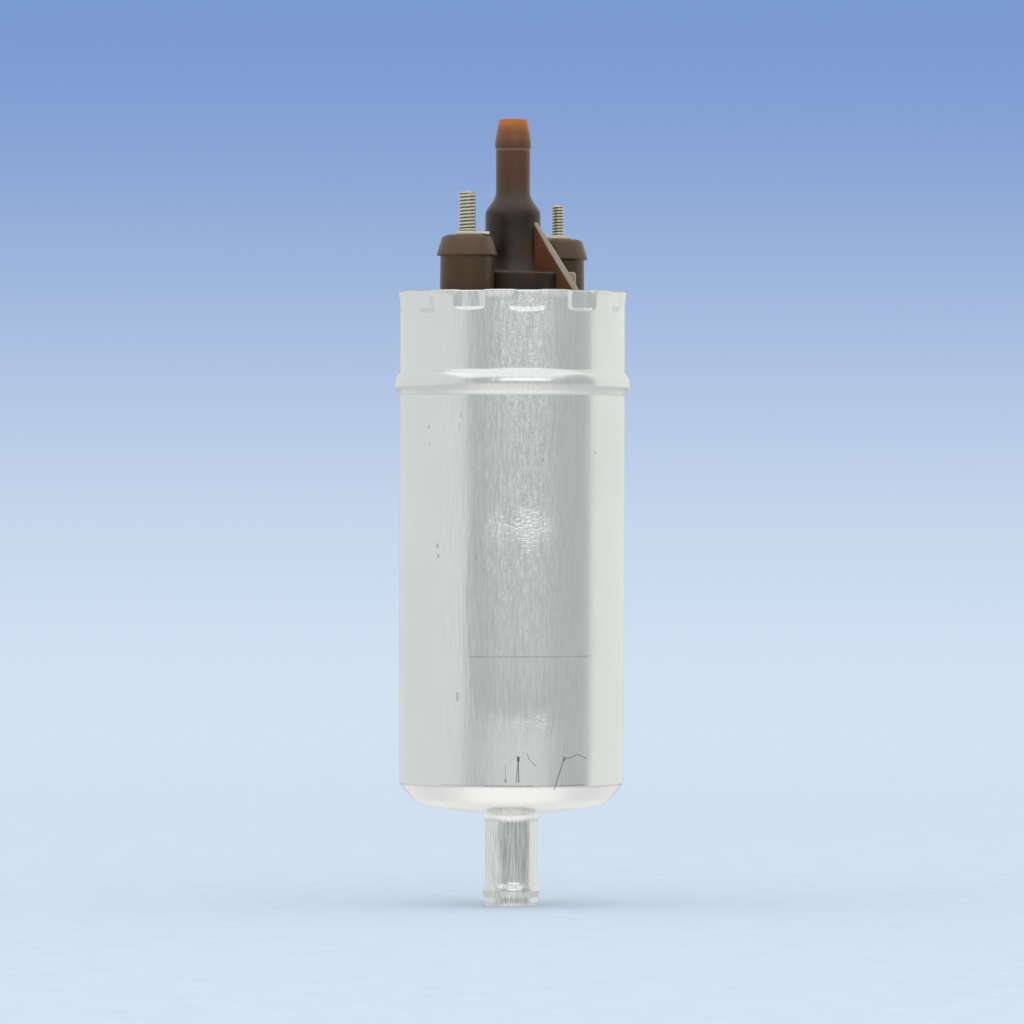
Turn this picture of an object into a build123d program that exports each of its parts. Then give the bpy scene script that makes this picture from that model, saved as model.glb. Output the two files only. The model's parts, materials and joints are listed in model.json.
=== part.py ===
from build123d import *
import math
import os

# Inline electric fuel pump: a drawn aluminium can with a roller pump, a two-pole motor
# and a crimped plastic cover.
# Frame: origin at the centre of the inlet tube's end face, +Z up the can's axis to the outlet,
# -Y towards the viewer. Lengths are millimetres, angles are degrees.

# Clearances
press_gap = 0.05            # between pressed or nested pieces that don't move
running_gap = 0.03          # radial, shaft in bush
sliding_gap = 0.1           # between pieces that slide or turn past each other
soft_gap = 0.3              # round rubber pieces
face_gap = 0.05             # axial, between turning faces

# Can
can_radius = 26.0
can_wall = 1.5
can_floor_height = 21.3     # outside of the bottom, where the inlet tube starts
can_corner_depth = 8.5      # from the bottom up to the straight wall
can_flat_radius = 8.5       # flat middle of the bottom
can_inner_radius = can_radius - can_wall
can_corner_reach = can_radius - can_flat_radius
can_wall_start = can_floor_height + can_corner_depth
can_floor_inside = can_floor_height + can_wall

inlet_tube_radius = 5.9
inlet_tube_wall = 1.1
inlet_tip_rounding = 0.5
inlet_root_fillet = 1.5
inlet_bulge_height = 3.7    # middle of the hose bulge above the tube's end
inlet_bulge_span = 3.4
inlet_bulge_rise = 0.4
inlet_bore_radius = inlet_tube_radius - inlet_tube_wall

# Strainer: a perforated cup on the can's floor, over the inlet
strainer_rim = 1.8
strainer_wall = 0.6
strainer_depth = 6.0
strainer_hole_radius = 0.7
strainer_holes = 14         # in the outer row
strainer_rows = 2
strainer_radius = can_flat_radius - sliding_gap
strainer_cup_radius = strainer_radius - strainer_rim

# Pump stack, from the inlet upwards
stack_start = 1.2           # from the start of the straight wall to the base plate
gasket_height = 2.8
gasket_width = 2.7
gasket_inset = 0.8          # from the can's wall, which curves in below the base plate
base_plate_thickness = 10.0
cam_height = 8.0
end_plate_thickness = 7.0
stack_radius = can_inner_radius - sliding_gap
gasket_outer_radius = can_inner_radius - gasket_inset
gasket_inner_radius = gasket_outer_radius - gasket_width
base_plate_bottom = can_wall_start + stack_start
base_plate_top = base_plate_bottom + base_plate_thickness
end_plate_bottom = base_plate_top + cam_height
end_plate_top = end_plate_bottom + end_plate_thickness
base_seal_width = 2.4
base_seal_depth = 1.6
base_seal_height = base_plate_bottom + base_plate_thickness / 2

# Roller pump: the rotor stands off the middle of the cam ring's bore
roller_radius = 2.6
roller_count = 5
rotor_radius = 12.6
cam_offset = 1.2
cam_ring_inset = 1.9        # from the plates' edge to the ring's
cam_bore_radius = rotor_radius + cam_offset + 2 * sliding_gap
cam_ring_radius = stack_radius - cam_ring_inset
roller_circle = cam_bore_radius - cam_offset - sliding_gap - roller_radius

port_inset = 1.6            # from the cam ring's bore to the middle of each port
port_width = 3.0
port_span = 100.0
port_depth = 4.0
port_channel_radius = 2.2
port_radius = cam_bore_radius - port_inset

screw_count = 4
screw_radius = 1.5
screw_head_radius = 2.6
screw_head_height = 2.0
screw_socket_radius = 1.3
screw_socket_depth = 1.2
screw_engagement = 7.0      # length of thread in the base plate
screw_angle = 180 / screw_count
screw_circle = (cam_ring_radius + cam_bore_radius + cam_offset) / 2

relief_seat_radius = 1.5
relief_bore_radius = 2.6
relief_ball_radius = 2.3
relief_seat_depth = 1.6     # from the base plate's top down to the ball's seat
relief_plug_thickness = 1.5
relief_hole_radius = 1.0
relief_spring_radius = 1.5
relief_turns = 3.5
relief_seat_height = base_plate_top - relief_seat_depth
relief_centre = (screw_circle, 0)

# Motor
shaft_radius = 2.5
shaft_end_gap = 1.0         # from the base plate to the shaft's lower end
shaft_shoulder_radius = 4.0
shaft_bottom = base_plate_top + shaft_end_gap
bush_radius = 5.0
bush_length = 6.0
washer_radius = 4.4
upper_washer_thickness = 1.2
lower_washer_thickness = 1.0
thrust_play = 0.35
dog_radius = 5.6
dog_thickness = 2.2
dog_tang_width = 2.0
dog_tang_length = 3.0
dog_tang_depth = 2.2
dog_recess_depth = 2.4

flux_tube_wall = 1.9
magnet_thickness = 5.05
magnet_span = 130.0
magnet_length = 45.0
magnet_start = 6.0          # from the pump's end plate to the magnets
air_gap = 0.5
core_length = 36.0
core_start = 4.0            # from the magnets' lower end to the core's
motor_bottom = end_plate_top
flux_tube_radius = stack_radius
flux_tube_bore_radius = flux_tube_radius - flux_tube_wall
magnet_outer_radius = flux_tube_bore_radius - press_gap
magnet_radius = magnet_outer_radius - magnet_thickness
magnet_bottom = motor_bottom + magnet_start
core_radius = magnet_radius - air_gap
core_bottom = magnet_bottom + core_start
core_top = core_bottom + core_length

slot_count = 8
slot_mouth = 1.6
tooth_tip = 2.1             # from the core's edge down to the slots
slot_inner_radius = 7.6
slot_inner_width = 3.0
slot_outer_width = 7.6
slot_lining = 0.15          # insulating gap between core and windings
winding_rise = 5.6
winding_inner_radius = 5.8
winding_rounding = 2.4
slot_outer_radius = core_radius - tooth_tip
clip_thickness = 0.8
clip_leg = 3.2
clip_side_gap = 2.0         # degrees between a clip and each magnet

commutator_start = 0.85     # from the windings to the commutator
commutator_base_thickness = 2.4
commutator_thickness = 3.0
commutator_inset = 2.9      # from the core's edge to the commutator's
commutator_inner_radius = 4.6
commutator_bars = 8
commutator_slot = 0.6
commutator_radius = core_radius - commutator_inset
commutator_bottom = core_top + slot_lining + winding_rise + commutator_start
commutator_face = commutator_bottom + commutator_base_thickness + commutator_thickness

# Brush carrier: its flange is clamped between the flux tube and the cover
cover_wall = 2.5
carrier_skirt = 2.4
carrier_flange = 2.0
carrier_rise = 4.4
carrier_window_radius = 3.4
carrier_window_circle = 12.5
carrier_window_angle = 45.0
carrier_bottom = commutator_face + face_gap + upper_washer_thickness + thrust_play
motor_top = carrier_bottom + carrier_skirt
cover_bottom = motor_top + carrier_flange
carrier_top = cover_bottom + carrier_rise
cover_radius = can_inner_radius - 2 * sliding_gap
cover_bore_radius = cover_radius - cover_wall
carrier_lower_radius = flux_tube_bore_radius - sliding_gap
carrier_upper_radius = cover_bore_radius - sliding_gap
shaft_top = carrier_top - face_gap

spring_wire = 0.3
brush_web = 2.0             # carrier wall between the upper bush and the brushes
brush_edge = 0.6            # from the commutator's edge to the brushes
brush_tangential = 7.6
brush_stand = 0.85          # how far the brushes stand out of the carrier
brush_spring_edge = 0.9
brush_spring_turns = 6.0
brush_radial = commutator_radius - brush_edge - bush_radius - brush_web
brush_circle = commutator_radius - brush_edge - brush_radial / 2
brush_spring_radius = brush_radial / 2 - brush_spring_edge
brush_bottom = commutator_face + face_gap
brush_top = carrier_top + brush_stand

# Cover: heights are steps upwards from the skirt's lower end
cover_skirt = 18.2
cover_plate = 4.0
cover_top = cover_bottom + cover_skirt
cover_ceiling = cover_top - cover_plate
seal_groove_drop = 8.4      # from the cover's plate down to the middle of the groove
seal_groove_width = 3.0
seal_groove_depth = 1.9
seal_groove_height = cover_top - seal_groove_drop

disc_radius = 12.4
disc_rise = 8.1
dome_foot_radius = 7.4
dome_radius = 6.35
dome_taper = 10.3
dome_straight = 3.6
dome_shoulder_rounding = 1.4
shoulder_rise = 2.4
neck_radius = 3.8
neck_length = 12.1
neck_root_rounding = 1.6
barb_radius = 4.05
barb_step = 0.3
barb_crest = 1.2            # length of the widest part
barb_taper = 5.3
tip_radius = 3.3
disc_top = cover_top + disc_rise
dome_straight_start = disc_top + dome_taper
dome_top = dome_straight_start + dome_straight
neck_start = dome_top + shoulder_rise
barb_start = neck_start + neck_length
crest_start = barb_start + barb_step
tip_height = crest_start + barb_crest + barb_taper

outlet_bore_radius = 2.4
dome_wall = 1.65
dome_ceiling = 1.8          # from the dome's top down to the valve's bore
valve_bore_radius = dome_radius - dome_wall
valve_bore_top = dome_top - dome_ceiling

# Terminal pods: the two stand opposite each other about the axis
pod_angle = 53.26
pod_rim_gap = 0.13          # from each pod's cap to the line of the can's inside
pod_radius = 6.15
pod_cap_radius = 6.9
pod_top_radius = 6.2
pod_top_rounding = 1.2
pod_body_height = 11.3
pod_cap_height = 4.8
pod_cap_start = cover_top + pod_body_height
pod_top = pod_cap_start + pod_cap_height
pod_circle = can_inner_radius - pod_cap_radius - pod_rim_gap
pod_x = pod_circle * math.cos(math.radians(pod_angle))
pod_y = pod_circle * math.sin(math.radians(pod_angle))

fin_angle = -33.0
fin_thickness = 2.45
fin_shoulder = 1.2          # straight part of the dome above the fin
fin_reach = 3.6             # beyond the disc
fin_foot_rise = 3.8
fin_top = dome_straight_start + fin_shoulder
fin_radius = disc_radius + fin_reach
fin_foot = cover_top + fin_foot_rise

lug_y = -1.0
lug_stand = 2.2             # beyond the disc
lug_thickness = 1.7
lug_length = 4.0
lug_rounding = 0.7
lug_top = disc_top - sliding_gap
lug_edge = disc_radius + lug_stand

plate_thickness = 0.65
plate_width = 6.0
plate_behind = 3.2          # from the stud's axis to the plate's near end
positive_plate_reach = 5.35
negative_plate_reach = 4.6

positive_stud_radius = 2.0
positive_stud_length = 10.0     # above the pod
negative_stud_radius = 1.5
negative_stud_length = 8.0
stud_shank_rise = 0.3       # the moulded-in shank is this much wider than the thread
stud_chamfer = 0.5
stud_foot_radius = 3.6
stud_foot_thickness = 1.4
stud_foot_bottom = cover_ceiling - press_gap - stud_foot_thickness

# Rolled bead and crimped rim of the can, at the heights of what they hold
bead_rise = 1.2
bead_span = 4.2
bead_lift = 2.75            # from the flux tube's end to the middle of the bead
bead_height = motor_top + bead_lift

crimp_count = 12
crimp_first_angle = -82.4
crimp_width = 7.0
crimp_height = 3.6          # from the rim down to the ledge of each crimp
crimp_depth = 1.2
crimp_tab_wall = 1.4
crimp_tab_height = 3.0
crimp_ledge = cover_top + sliding_gap
can_rim_height = crimp_ledge + crimp_height

# Chokes and their leads, under the cover
choke_inset = 5.5           # from the carrier's edge to each choke's axis
choke_core_radius = 1.8
choke_coil_radius = 3.2
choke_turns = 8
choke_foot = 1.0
lead_radius = 0.5
choke_circle = carrier_upper_radius - choke_inset
choke_top = cover_ceiling - soft_gap
lead_height = choke_top - choke_foot / 2

# Check valve in the dome
seat_start = 4.8            # from the cover's plate to the seat
seat_height = 5.0
seat_hole_radius = 2.7
check_seal_thickness = 1.0
check_seal_gap = 0.8        # from the seal's edge to the bore
check_disc_gap = 1.0
check_disc_thickness = 1.2
check_stem_radius = 1.3
check_spring_gap = 1.8      # from the spring's middle line to the bore
check_spring_turns = 5.5
check_travel = 1.8
check_stem_short = 2 * check_travel     # from the stem's end to the top of its bore
seat_bottom = cover_top + seat_start
seat_top = seat_bottom + seat_height
seal_bottom = seat_top + face_gap
disc_bottom = seal_bottom + check_seal_thickness
check_seal_radius = valve_bore_radius - check_seal_gap
check_cone_radius = valve_bore_radius - check_disc_gap
check_spring_radius = valve_bore_radius - check_spring_gap

# How far a cutter stands past the face that it passes through
overcut = 1.0


def ring_sector(inner_radius, outer_radius, middle, span):
    """A flat piece of ring about the axis, from its two radii, middle angle and span."""
    start = middle - span / 2
    with BuildSketch() as sector:
        with BuildLine():
            outer = CenterArc((0, 0), outer_radius, start, span)
            inner = CenterArc((0, 0), inner_radius, start, span)
            Line(outer @ 0, inner @ 0)
            Line(outer @ 1, inner @ 1)
        make_face()
    return sector.sketch


def winding_slot(lining):
    """The section of one armature slot along +X, made smaller all round by the lining."""
    inner_half = slot_inner_width / 2 - lining
    outer_half = slot_outer_width / 2 - lining
    near = slot_inner_radius + lining
    far = slot_outer_radius - lining
    with BuildSketch() as slot:
        with BuildLine():
            FilletPolyline(
                (near, -inner_half), (far, -outer_half), (far, outer_half), (near, inner_half),
                radius=slot_mouth / 2, close=True,
            )
        make_face()
    return slot.sketch


def coil_spring(wire_radius, coil_radius, centre, bottom, top, turns):
    """A helical spring along Z that fills the height between two faces."""
    height = top - bottom - 2 * wire_radius
    with BuildPart() as spring:
        with BuildLine() as path:
            Helix(height / turns, height, coil_radius, (centre[0], centre[1], bottom + wire_radius))
        with BuildSketch(Plane(origin=path.line @ 0, z_dir=path.line % 0)):
            Circle(wire_radius)
        sweep(is_frenet=True)
    return spring.part


def on_circle(radius, angle):
    """The point at a radius and an angle about the axis."""
    return (radius * math.cos(math.radians(angle)), radius * math.sin(math.radians(angle)))


def finish(builder, name):
    """Label a finished piece and write it to its own file."""
    builder.part.label = name
    export_step(builder.part, "parts/" + name + ".step")


os.makedirs("parts", exist_ok=True)

# Inlet tube: drawn from the can's floor, with a rolled bulge for the hose
with BuildPart() as inlet_tube:
    with BuildSketch(Plane.XZ):
        with BuildLine():
            bulge_low = inlet_bulge_height - inlet_bulge_span / 2
            bulge_high = inlet_bulge_height + inlet_bulge_span / 2
            bulge_radius = inlet_tube_radius + inlet_bulge_rise
            Polyline(
                (inlet_tube_radius, bulge_high),
                (inlet_tube_radius, can_floor_inside),
                (inlet_bore_radius, can_floor_inside),
                (inlet_bore_radius, 0),
                (inlet_tube_radius - inlet_tip_rounding, 0),
                (inlet_tube_radius, 2 * inlet_tip_rounding),
                (inlet_tube_radius, bulge_low),
            )
            ThreePointArc(
                (inlet_tube_radius, bulge_low),
                (bulge_radius, inlet_bulge_height),
                (inlet_tube_radius, bulge_high),
            )
        make_face()
    revolve(axis=Axis.Z)
finish(inlet_tube, "inlet_tube")

# Can: one revolved wall from the tube's root up to the rim, with its bead and crimps
with BuildPart() as can_housing:
    with BuildSketch(Plane.XZ):
        with BuildLine():
            corner_centre = (can_flat_radius, can_wall_start)
            bead_low = bead_height - bead_span / 2
            bead_high = bead_height + bead_span / 2
            hole_radius = inlet_tube_radius + press_gap
            root_centre = (hole_radius + inlet_root_fillet, can_floor_height - inlet_root_fillet)
            CenterArc(root_centre, inlet_root_fillet, 90, 90)
            Line((root_centre[0], can_floor_height), (can_flat_radius, can_floor_height))
            EllipticalCenterArc(corner_centre, can_corner_reach, can_corner_depth, 270, arc_size=90)
            Line((can_radius, can_wall_start), (can_radius, bead_low))
            ThreePointArc(
                (can_radius, bead_low), (can_radius + bead_rise, bead_height), (can_radius, bead_high)
            )
            Polyline(
                (can_radius, bead_high),
                (can_radius, can_rim_height),
                (can_inner_radius, can_rim_height),
                (can_inner_radius, bead_high),
            )
            ThreePointArc(
                (can_inner_radius, bead_high),
                (can_inner_radius + bead_rise, bead_height),
                (can_inner_radius, bead_low),
            )
            Line((can_inner_radius, bead_low), (can_inner_radius, can_wall_start))
            EllipticalCenterArc(
                corner_centre, can_corner_reach - can_wall, can_corner_depth - can_wall, 270, arc_size=90
            )
            Polyline(
                (can_flat_radius, can_floor_inside),
                (hole_radius, can_floor_inside),
                (hole_radius, root_centre[1]),
            )
        make_face()
    revolve(axis=Axis.Z)
    # Each crimp is a pocket pressed into the rim, with a tab folded in over the cover
    with BuildSketch(Plane.XY.offset(crimp_ledge)):
        with PolarLocations(can_radius, crimp_count, start_angle=crimp_first_angle):
            Rectangle(2 * crimp_depth, crimp_width)
    extrude(amount=crimp_height + overcut, mode=Mode.SUBTRACT)
    with BuildSketch(Plane.XY.offset(crimp_ledge)):
        tab_middle = can_radius - crimp_depth - crimp_tab_wall / 2
        with PolarLocations(tab_middle, crimp_count, start_angle=crimp_first_angle):
            Rectangle(crimp_tab_wall, crimp_width)
    extrude(amount=crimp_tab_height)
finish(can_housing, "can_housing")

# Outlet: dome, neck and barb are one revolved section round the fuel's way out
with BuildPart() as outlet_fitting:
    with BuildSketch(Plane.XZ) as outlet_section:
        with BuildLine():
            Polyline(
                (outlet_bore_radius, tip_height),
                (tip_radius, tip_height),
                (barb_radius, crest_start + barb_crest),
                (barb_radius, crest_start),
                (neck_radius, barb_start),
                (neck_radius, neck_start),
                (dome_radius, dome_top),
                (dome_radius, dome_straight_start),
                (dome_foot_radius, disc_top),
                (valve_bore_radius, disc_top),
                (valve_bore_radius, valve_bore_top),
                (outlet_bore_radius, valve_bore_top),
                close=True,
            )
        make_face()
        section_corners = outlet_section.vertices().sort_by_distance((dome_radius, dome_top, 0))
        fillet(section_corners[0], dome_shoulder_rounding)
        section_corners = outlet_section.vertices().sort_by_distance((neck_radius, neck_start, 0))
        fillet(section_corners[0], neck_root_rounding)
    revolve(axis=Axis.Z)
finish(outlet_fitting, "outlet_fitting")

# Cover: skirt, plate and disc are one revolved section, open in the middle for the check valve
with BuildPart() as end_cover:
    with BuildSketch(Plane.XZ):
        with BuildLine():
            groove_low = seal_groove_height - seal_groove_width / 2
            groove_high = seal_groove_height + seal_groove_width / 2
            groove_radius = cover_radius - seal_groove_depth
            Polyline(
                (disc_radius, disc_top),
                (disc_radius, cover_top),
                (cover_radius, cover_top),
                (cover_radius, groove_high),
                (groove_radius, groove_high),
                (groove_radius, groove_low),
                (cover_radius, groove_low),
                (cover_radius, cover_bottom),
                (cover_bore_radius, cover_bottom),
                (cover_bore_radius, cover_ceiling),
                (valve_bore_radius, cover_ceiling),
                (valve_bore_radius, disc_top),
                close=True,
            )
        make_face()
    revolve(axis=Axis.Z)
    # The pods stand on the cover's plate
    for side in (1, -1):
        pod_centre = (side * pod_x, side * pod_y)
        with BuildSketch(Plane.XY.offset(cover_top - press_gap)):
            with Locations(pod_centre):
                Circle(pod_radius)
        extrude(amount=pod_cap_start - cover_top + press_gap)
        with BuildSketch(Plane.XY.offset(pod_cap_start)) as cap_low:
            with Locations(pod_centre):
                Circle(pod_cap_radius)
        with BuildSketch(Plane.XY.offset(pod_top)) as cap_high:
            with Locations(pod_centre):
                Circle(pod_top_radius)
        loft()
    pod_rims = end_cover.edges().filter_by(GeomType.CIRCLE).filter_by_position(Axis.Z, pod_top, pod_top)
    fillet(pod_rims, pod_top_rounding)
    # Gusset from the dome down to the plate, towards the front right, cut to the dome's outline
    fin_plane = Plane(
        origin=(0, 0, 0),
        x_dir=(*on_circle(1, fin_angle), 0),
        z_dir=(*on_circle(1, fin_angle - 90), 0),
    )
    fin_root = dome_radius - press_gap
    with BuildSketch(fin_plane):
        with BuildLine():
            Polyline(
                (fin_root, cover_top - press_gap),
                (fin_radius, cover_top - press_gap),
                (fin_radius, fin_foot),
                (dome_radius, fin_top),
                (fin_root, fin_top),
                close=True,
            )
        make_face()
    extrude(amount=fin_thickness / 2, both=True)
    with BuildSketch(Plane.XZ):
        with BuildLine():
            Polyline(
                (0, disc_top),
                (dome_foot_radius + press_gap, disc_top),
                (dome_radius + press_gap, dome_straight_start),
                (dome_radius + press_gap, neck_start),
                (0, neck_start),
                close=True,
            )
        make_face()
    revolve(axis=Axis.Z, mode=Mode.SUBTRACT)
    with BuildSketch(Plane.XZ.offset(-lug_y)):
        with BuildLine():
            Polyline(
                (disc_radius - lug_thickness, cover_top - press_gap),
                (lug_edge, cover_top - press_gap),
                (lug_edge, lug_top - lug_rounding),
                (lug_edge - lug_rounding, lug_top),
                (disc_radius - lug_thickness, lug_top),
                close=True,
            )
        make_face()
    extrude(amount=lug_length / 2, both=True)
    # Holes for the moulded-in studs
    for side, radius in ((-1, positive_stud_radius), (1, negative_stud_radius)):
        with BuildSketch(Plane.XY.offset(cover_ceiling - overcut)):
            with Locations((side * pod_x, side * pod_y)):
                Circle(radius + stud_shank_rise + press_gap)
        extrude(amount=pod_top - cover_ceiling + 2 * overcut, mode=Mode.SUBTRACT)
finish(end_cover, "end_cover")

# Terminal studs, each with a round foot under the cover's plate
stud_sizes = {
    "positive": (-1, positive_stud_radius, positive_stud_length, positive_plate_reach),
    "negative": (1, negative_stud_radius, negative_stud_length, negative_plate_reach),
}
for name, (side, radius, length, reach) in stud_sizes.items():
    stud_centre = (side * pod_x, side * pod_y)
    with BuildPart() as terminal_stud:
        with BuildSketch(Plane.XY.offset(stud_foot_bottom)):
            with Locations(stud_centre):
                Circle(stud_foot_radius)
        extrude(amount=stud_foot_thickness)
        with BuildSketch(Plane.XY.offset(stud_foot_bottom)):
            with Locations(stud_centre):
                Circle(radius + stud_shank_rise)
        extrude(amount=pod_top + plate_thickness - stud_foot_bottom)
        with BuildSketch(Plane.XY.offset(pod_top + plate_thickness)):
            with Locations(stud_centre):
                Circle(radius)
        extrude(amount=length - plate_thickness)
        chamfer(terminal_stud.faces().sort_by(Axis.Z)[-1].edges(), stud_chamfer)
    finish(terminal_stud, name + "_stud")

    with BuildPart() as terminal_plate:
        with BuildSketch(Plane.XY.offset(pod_top)):
            with Locations((stud_centre[0] + (reach - plate_behind) / 2, stud_centre[1])):
                Rectangle(reach + plate_behind, plate_width)
            with Locations(stud_centre):
                Circle(radius + stud_shank_rise + press_gap, mode=Mode.SUBTRACT)
        extrude(amount=plate_thickness)
    finish(terminal_plate, name + "_plate")

# Rubber rings
with BuildPart() as cover_seal:
    with BuildSketch(Plane.XZ):
        cord_radius = (seal_groove_depth + can_inner_radius - cover_radius - soft_gap) / 2
        with Locations((can_inner_radius - soft_gap / 2 - cord_radius, seal_groove_height)):
            Circle(cord_radius)
    revolve(axis=Axis.Z)
finish(cover_seal, "cover_seal")

with BuildPart() as pump_seal:
    with BuildSketch(Plane.XZ):
        ring_radius = (base_seal_depth + can_inner_radius - stack_radius - soft_gap) / 2
        with Locations((can_inner_radius - soft_gap / 2 - ring_radius, base_seal_height)):
            Circle(ring_radius)
    revolve(axis=Axis.Z)
finish(pump_seal, "pump_seal")

with BuildPart() as inlet_gasket:
    gasket_bottom = base_plate_bottom - gasket_height
    with BuildSketch(Plane.XY.offset(gasket_bottom)):
        Circle(gasket_outer_radius)
        Circle(gasket_inner_radius, mode=Mode.SUBTRACT)
    extrude(amount=gasket_height)
finish(inlet_gasket, "inlet_gasket")

# Strainer: its rim lies on the can's floor, its cup stands up from it
with BuildPart() as inlet_strainer:
    cup_top = can_floor_inside + strainer_depth
    with BuildSketch(Plane.XZ):
        with BuildLine():
            Polyline(
                (0, cup_top),
                (strainer_cup_radius, cup_top),
                (strainer_cup_radius, can_floor_inside + strainer_wall),
                (strainer_radius, can_floor_inside + strainer_wall),
                (strainer_radius, can_floor_inside),
                (strainer_cup_radius - strainer_wall, can_floor_inside),
                (strainer_cup_radius - strainer_wall, cup_top - strainer_wall),
                (0, cup_top - strainer_wall),
                close=True,
            )
        make_face()
    revolve(axis=Axis.Z)
    with BuildSketch(Plane.XY.offset(cup_top - strainer_wall - overcut)):
        for row in range(1, strainer_rows + 1):
            row_radius = row * strainer_cup_radius / (strainer_rows + 1)
            with PolarLocations(row_radius, row * strainer_holes // strainer_rows):
                Circle(strainer_hole_radius)
    extrude(amount=strainer_wall + 2 * overcut, mode=Mode.SUBTRACT)
finish(inlet_strainer, "inlet_strainer")

# Roller pump: two plates with the cam ring between them, held by screws
with BuildPart() as pump_base_plate:
    with BuildSketch(Plane.XY.offset(base_plate_bottom)):
        Circle(stack_radius)
    extrude(amount=base_plate_thickness)
    with BuildSketch(Plane.XY.offset(base_seal_height - base_seal_width / 2)):
        Circle(stack_radius + overcut)
        Circle(stack_radius - base_seal_depth, mode=Mode.SUBTRACT)
    extrude(amount=base_seal_width, mode=Mode.SUBTRACT)
    # Suction port: a kidney in the top face, fed by a hole from the inlet chamber
    with BuildSketch(Plane.XY.offset(base_plate_top)):
        SlotArc(CenterArc((0, 0), port_radius, 90 - port_span / 2, port_span), port_width)
    extrude(amount=-port_depth, mode=Mode.SUBTRACT)
    with BuildSketch(Plane.XY.offset(base_plate_bottom)):
        with Locations((0, port_radius)):
            Circle(port_channel_radius)
    extrude(amount=base_plate_thickness - port_depth / 2, mode=Mode.SUBTRACT)
    # Relief valve bore, with its ball's seat at the top
    with BuildSketch(Plane.XY.offset(base_plate_bottom)):
        with Locations(relief_centre):
            Circle(relief_bore_radius)
    extrude(amount=relief_seat_height - base_plate_bottom, mode=Mode.SUBTRACT)
    with BuildSketch(Plane.XY.offset(relief_seat_height - overcut)):
        with Locations(relief_centre):
            Circle(relief_seat_radius)
    extrude(amount=base_plate_top - relief_seat_height + 2 * overcut, mode=Mode.SUBTRACT)
    with BuildSketch(Plane.XY.offset(base_plate_top)):
        with PolarLocations(screw_circle, screw_count, start_angle=screw_angle):
            Circle(screw_radius + press_gap)
    extrude(amount=-screw_engagement - press_gap, mode=Mode.SUBTRACT)
finish(pump_base_plate, "pump_base_plate")

with BuildPart() as cam_ring:
    with BuildSketch(Plane.XY.offset(base_plate_top)):
        Circle(cam_ring_radius)
        with Locations((cam_offset, 0)):
            Circle(cam_bore_radius, mode=Mode.SUBTRACT)
        with Locations(relief_centre):
            Circle(relief_seat_radius, mode=Mode.SUBTRACT)
        with PolarLocations(screw_circle, screw_count, start_angle=screw_angle):
            Circle(screw_radius + press_gap, mode=Mode.SUBTRACT)
    extrude(amount=cam_height)
finish(cam_ring, "cam_ring")

with BuildPart() as pump_end_plate:
    with BuildSketch(Plane.XY.offset(end_plate_bottom)):
        Circle(stack_radius)
        Circle(bush_radius + press_gap, mode=Mode.SUBTRACT)
        SlotArc(
            CenterArc((0, 0), port_radius, 270 - port_span / 2, port_span), port_width, mode=Mode.SUBTRACT
        )
        with Locations(relief_centre):
            Circle(relief_seat_radius, mode=Mode.SUBTRACT)
        with PolarLocations(screw_circle, screw_count, start_angle=screw_angle):
            Circle(screw_radius + press_gap, mode=Mode.SUBTRACT)
    extrude(amount=end_plate_thickness)
finish(pump_end_plate, "pump_end_plate")

with BuildPart() as pump_screws:
    screw_bottom = base_plate_top - screw_engagement
    with BuildSketch(Plane.XY.offset(screw_bottom)):
        with PolarLocations(screw_circle, screw_count, start_angle=screw_angle):
            Circle(screw_radius)
    extrude(amount=end_plate_top - screw_bottom)
    with BuildSketch(Plane.XY.offset(end_plate_top)):
        with PolarLocations(screw_circle, screw_count, start_angle=screw_angle):
            Circle(screw_head_radius)
    extrude(amount=screw_head_height)
    with BuildSketch(Plane.XY.offset(end_plate_top + screw_head_height)):
        with PolarLocations(screw_circle, screw_count, start_angle=screw_angle):
            RegularPolygon(screw_socket_radius, 6)
    extrude(amount=-screw_socket_depth, mode=Mode.SUBTRACT)
finish(pump_screws, "pump_screws")

with BuildPart() as pump_rotor:
    rotor_bottom = base_plate_top + face_gap
    rotor_top = end_plate_bottom - face_gap
    roller_slot = roller_radius + sliding_gap / 2
    with BuildSketch(Plane.XY.offset(rotor_bottom)):
        Circle(rotor_radius)
        Circle(shaft_radius + press_gap, mode=Mode.SUBTRACT)
        with PolarLocations(roller_circle, roller_count):
            Circle(roller_slot, mode=Mode.SUBTRACT)
            Rectangle(rotor_radius, 2 * roller_slot, align=(Align.MIN, Align.CENTER), mode=Mode.SUBTRACT)
    extrude(amount=rotor_top - rotor_bottom)
    # Recess for the dog, with two deeper pockets for its tangs
    with BuildSketch(Plane.XY.offset(rotor_top)):
        Circle(dog_radius + press_gap)
    extrude(amount=-dog_recess_depth, mode=Mode.SUBTRACT)
    tang_circle = dog_radius - dog_tang_width / 2
    with BuildSketch(Plane.XY.offset(rotor_top - dog_recess_depth)):
        with PolarLocations(tang_circle, 2, start_angle=180 / roller_count):
            Rectangle(dog_tang_width, dog_tang_length + 2 * press_gap)
    extrude(amount=-dog_tang_depth, mode=Mode.SUBTRACT)
finish(pump_rotor, "pump_rotor")

with BuildPart() as drive_dog:
    dog_bottom = rotor_top - dog_recess_depth + press_gap
    with BuildSketch(Plane.XY.offset(dog_bottom)):
        Circle(dog_radius)
        Circle(shaft_radius + press_gap, mode=Mode.SUBTRACT)
    extrude(amount=dog_thickness)
    with BuildSketch(Plane.XY.offset(dog_bottom)):
        with PolarLocations(tang_circle, 2, start_angle=180 / roller_count):
            Rectangle(dog_tang_width - 2 * press_gap, dog_tang_length)
    extrude(amount=-dog_tang_depth + 2 * press_gap)
finish(drive_dog, "drive_dog")

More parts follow.
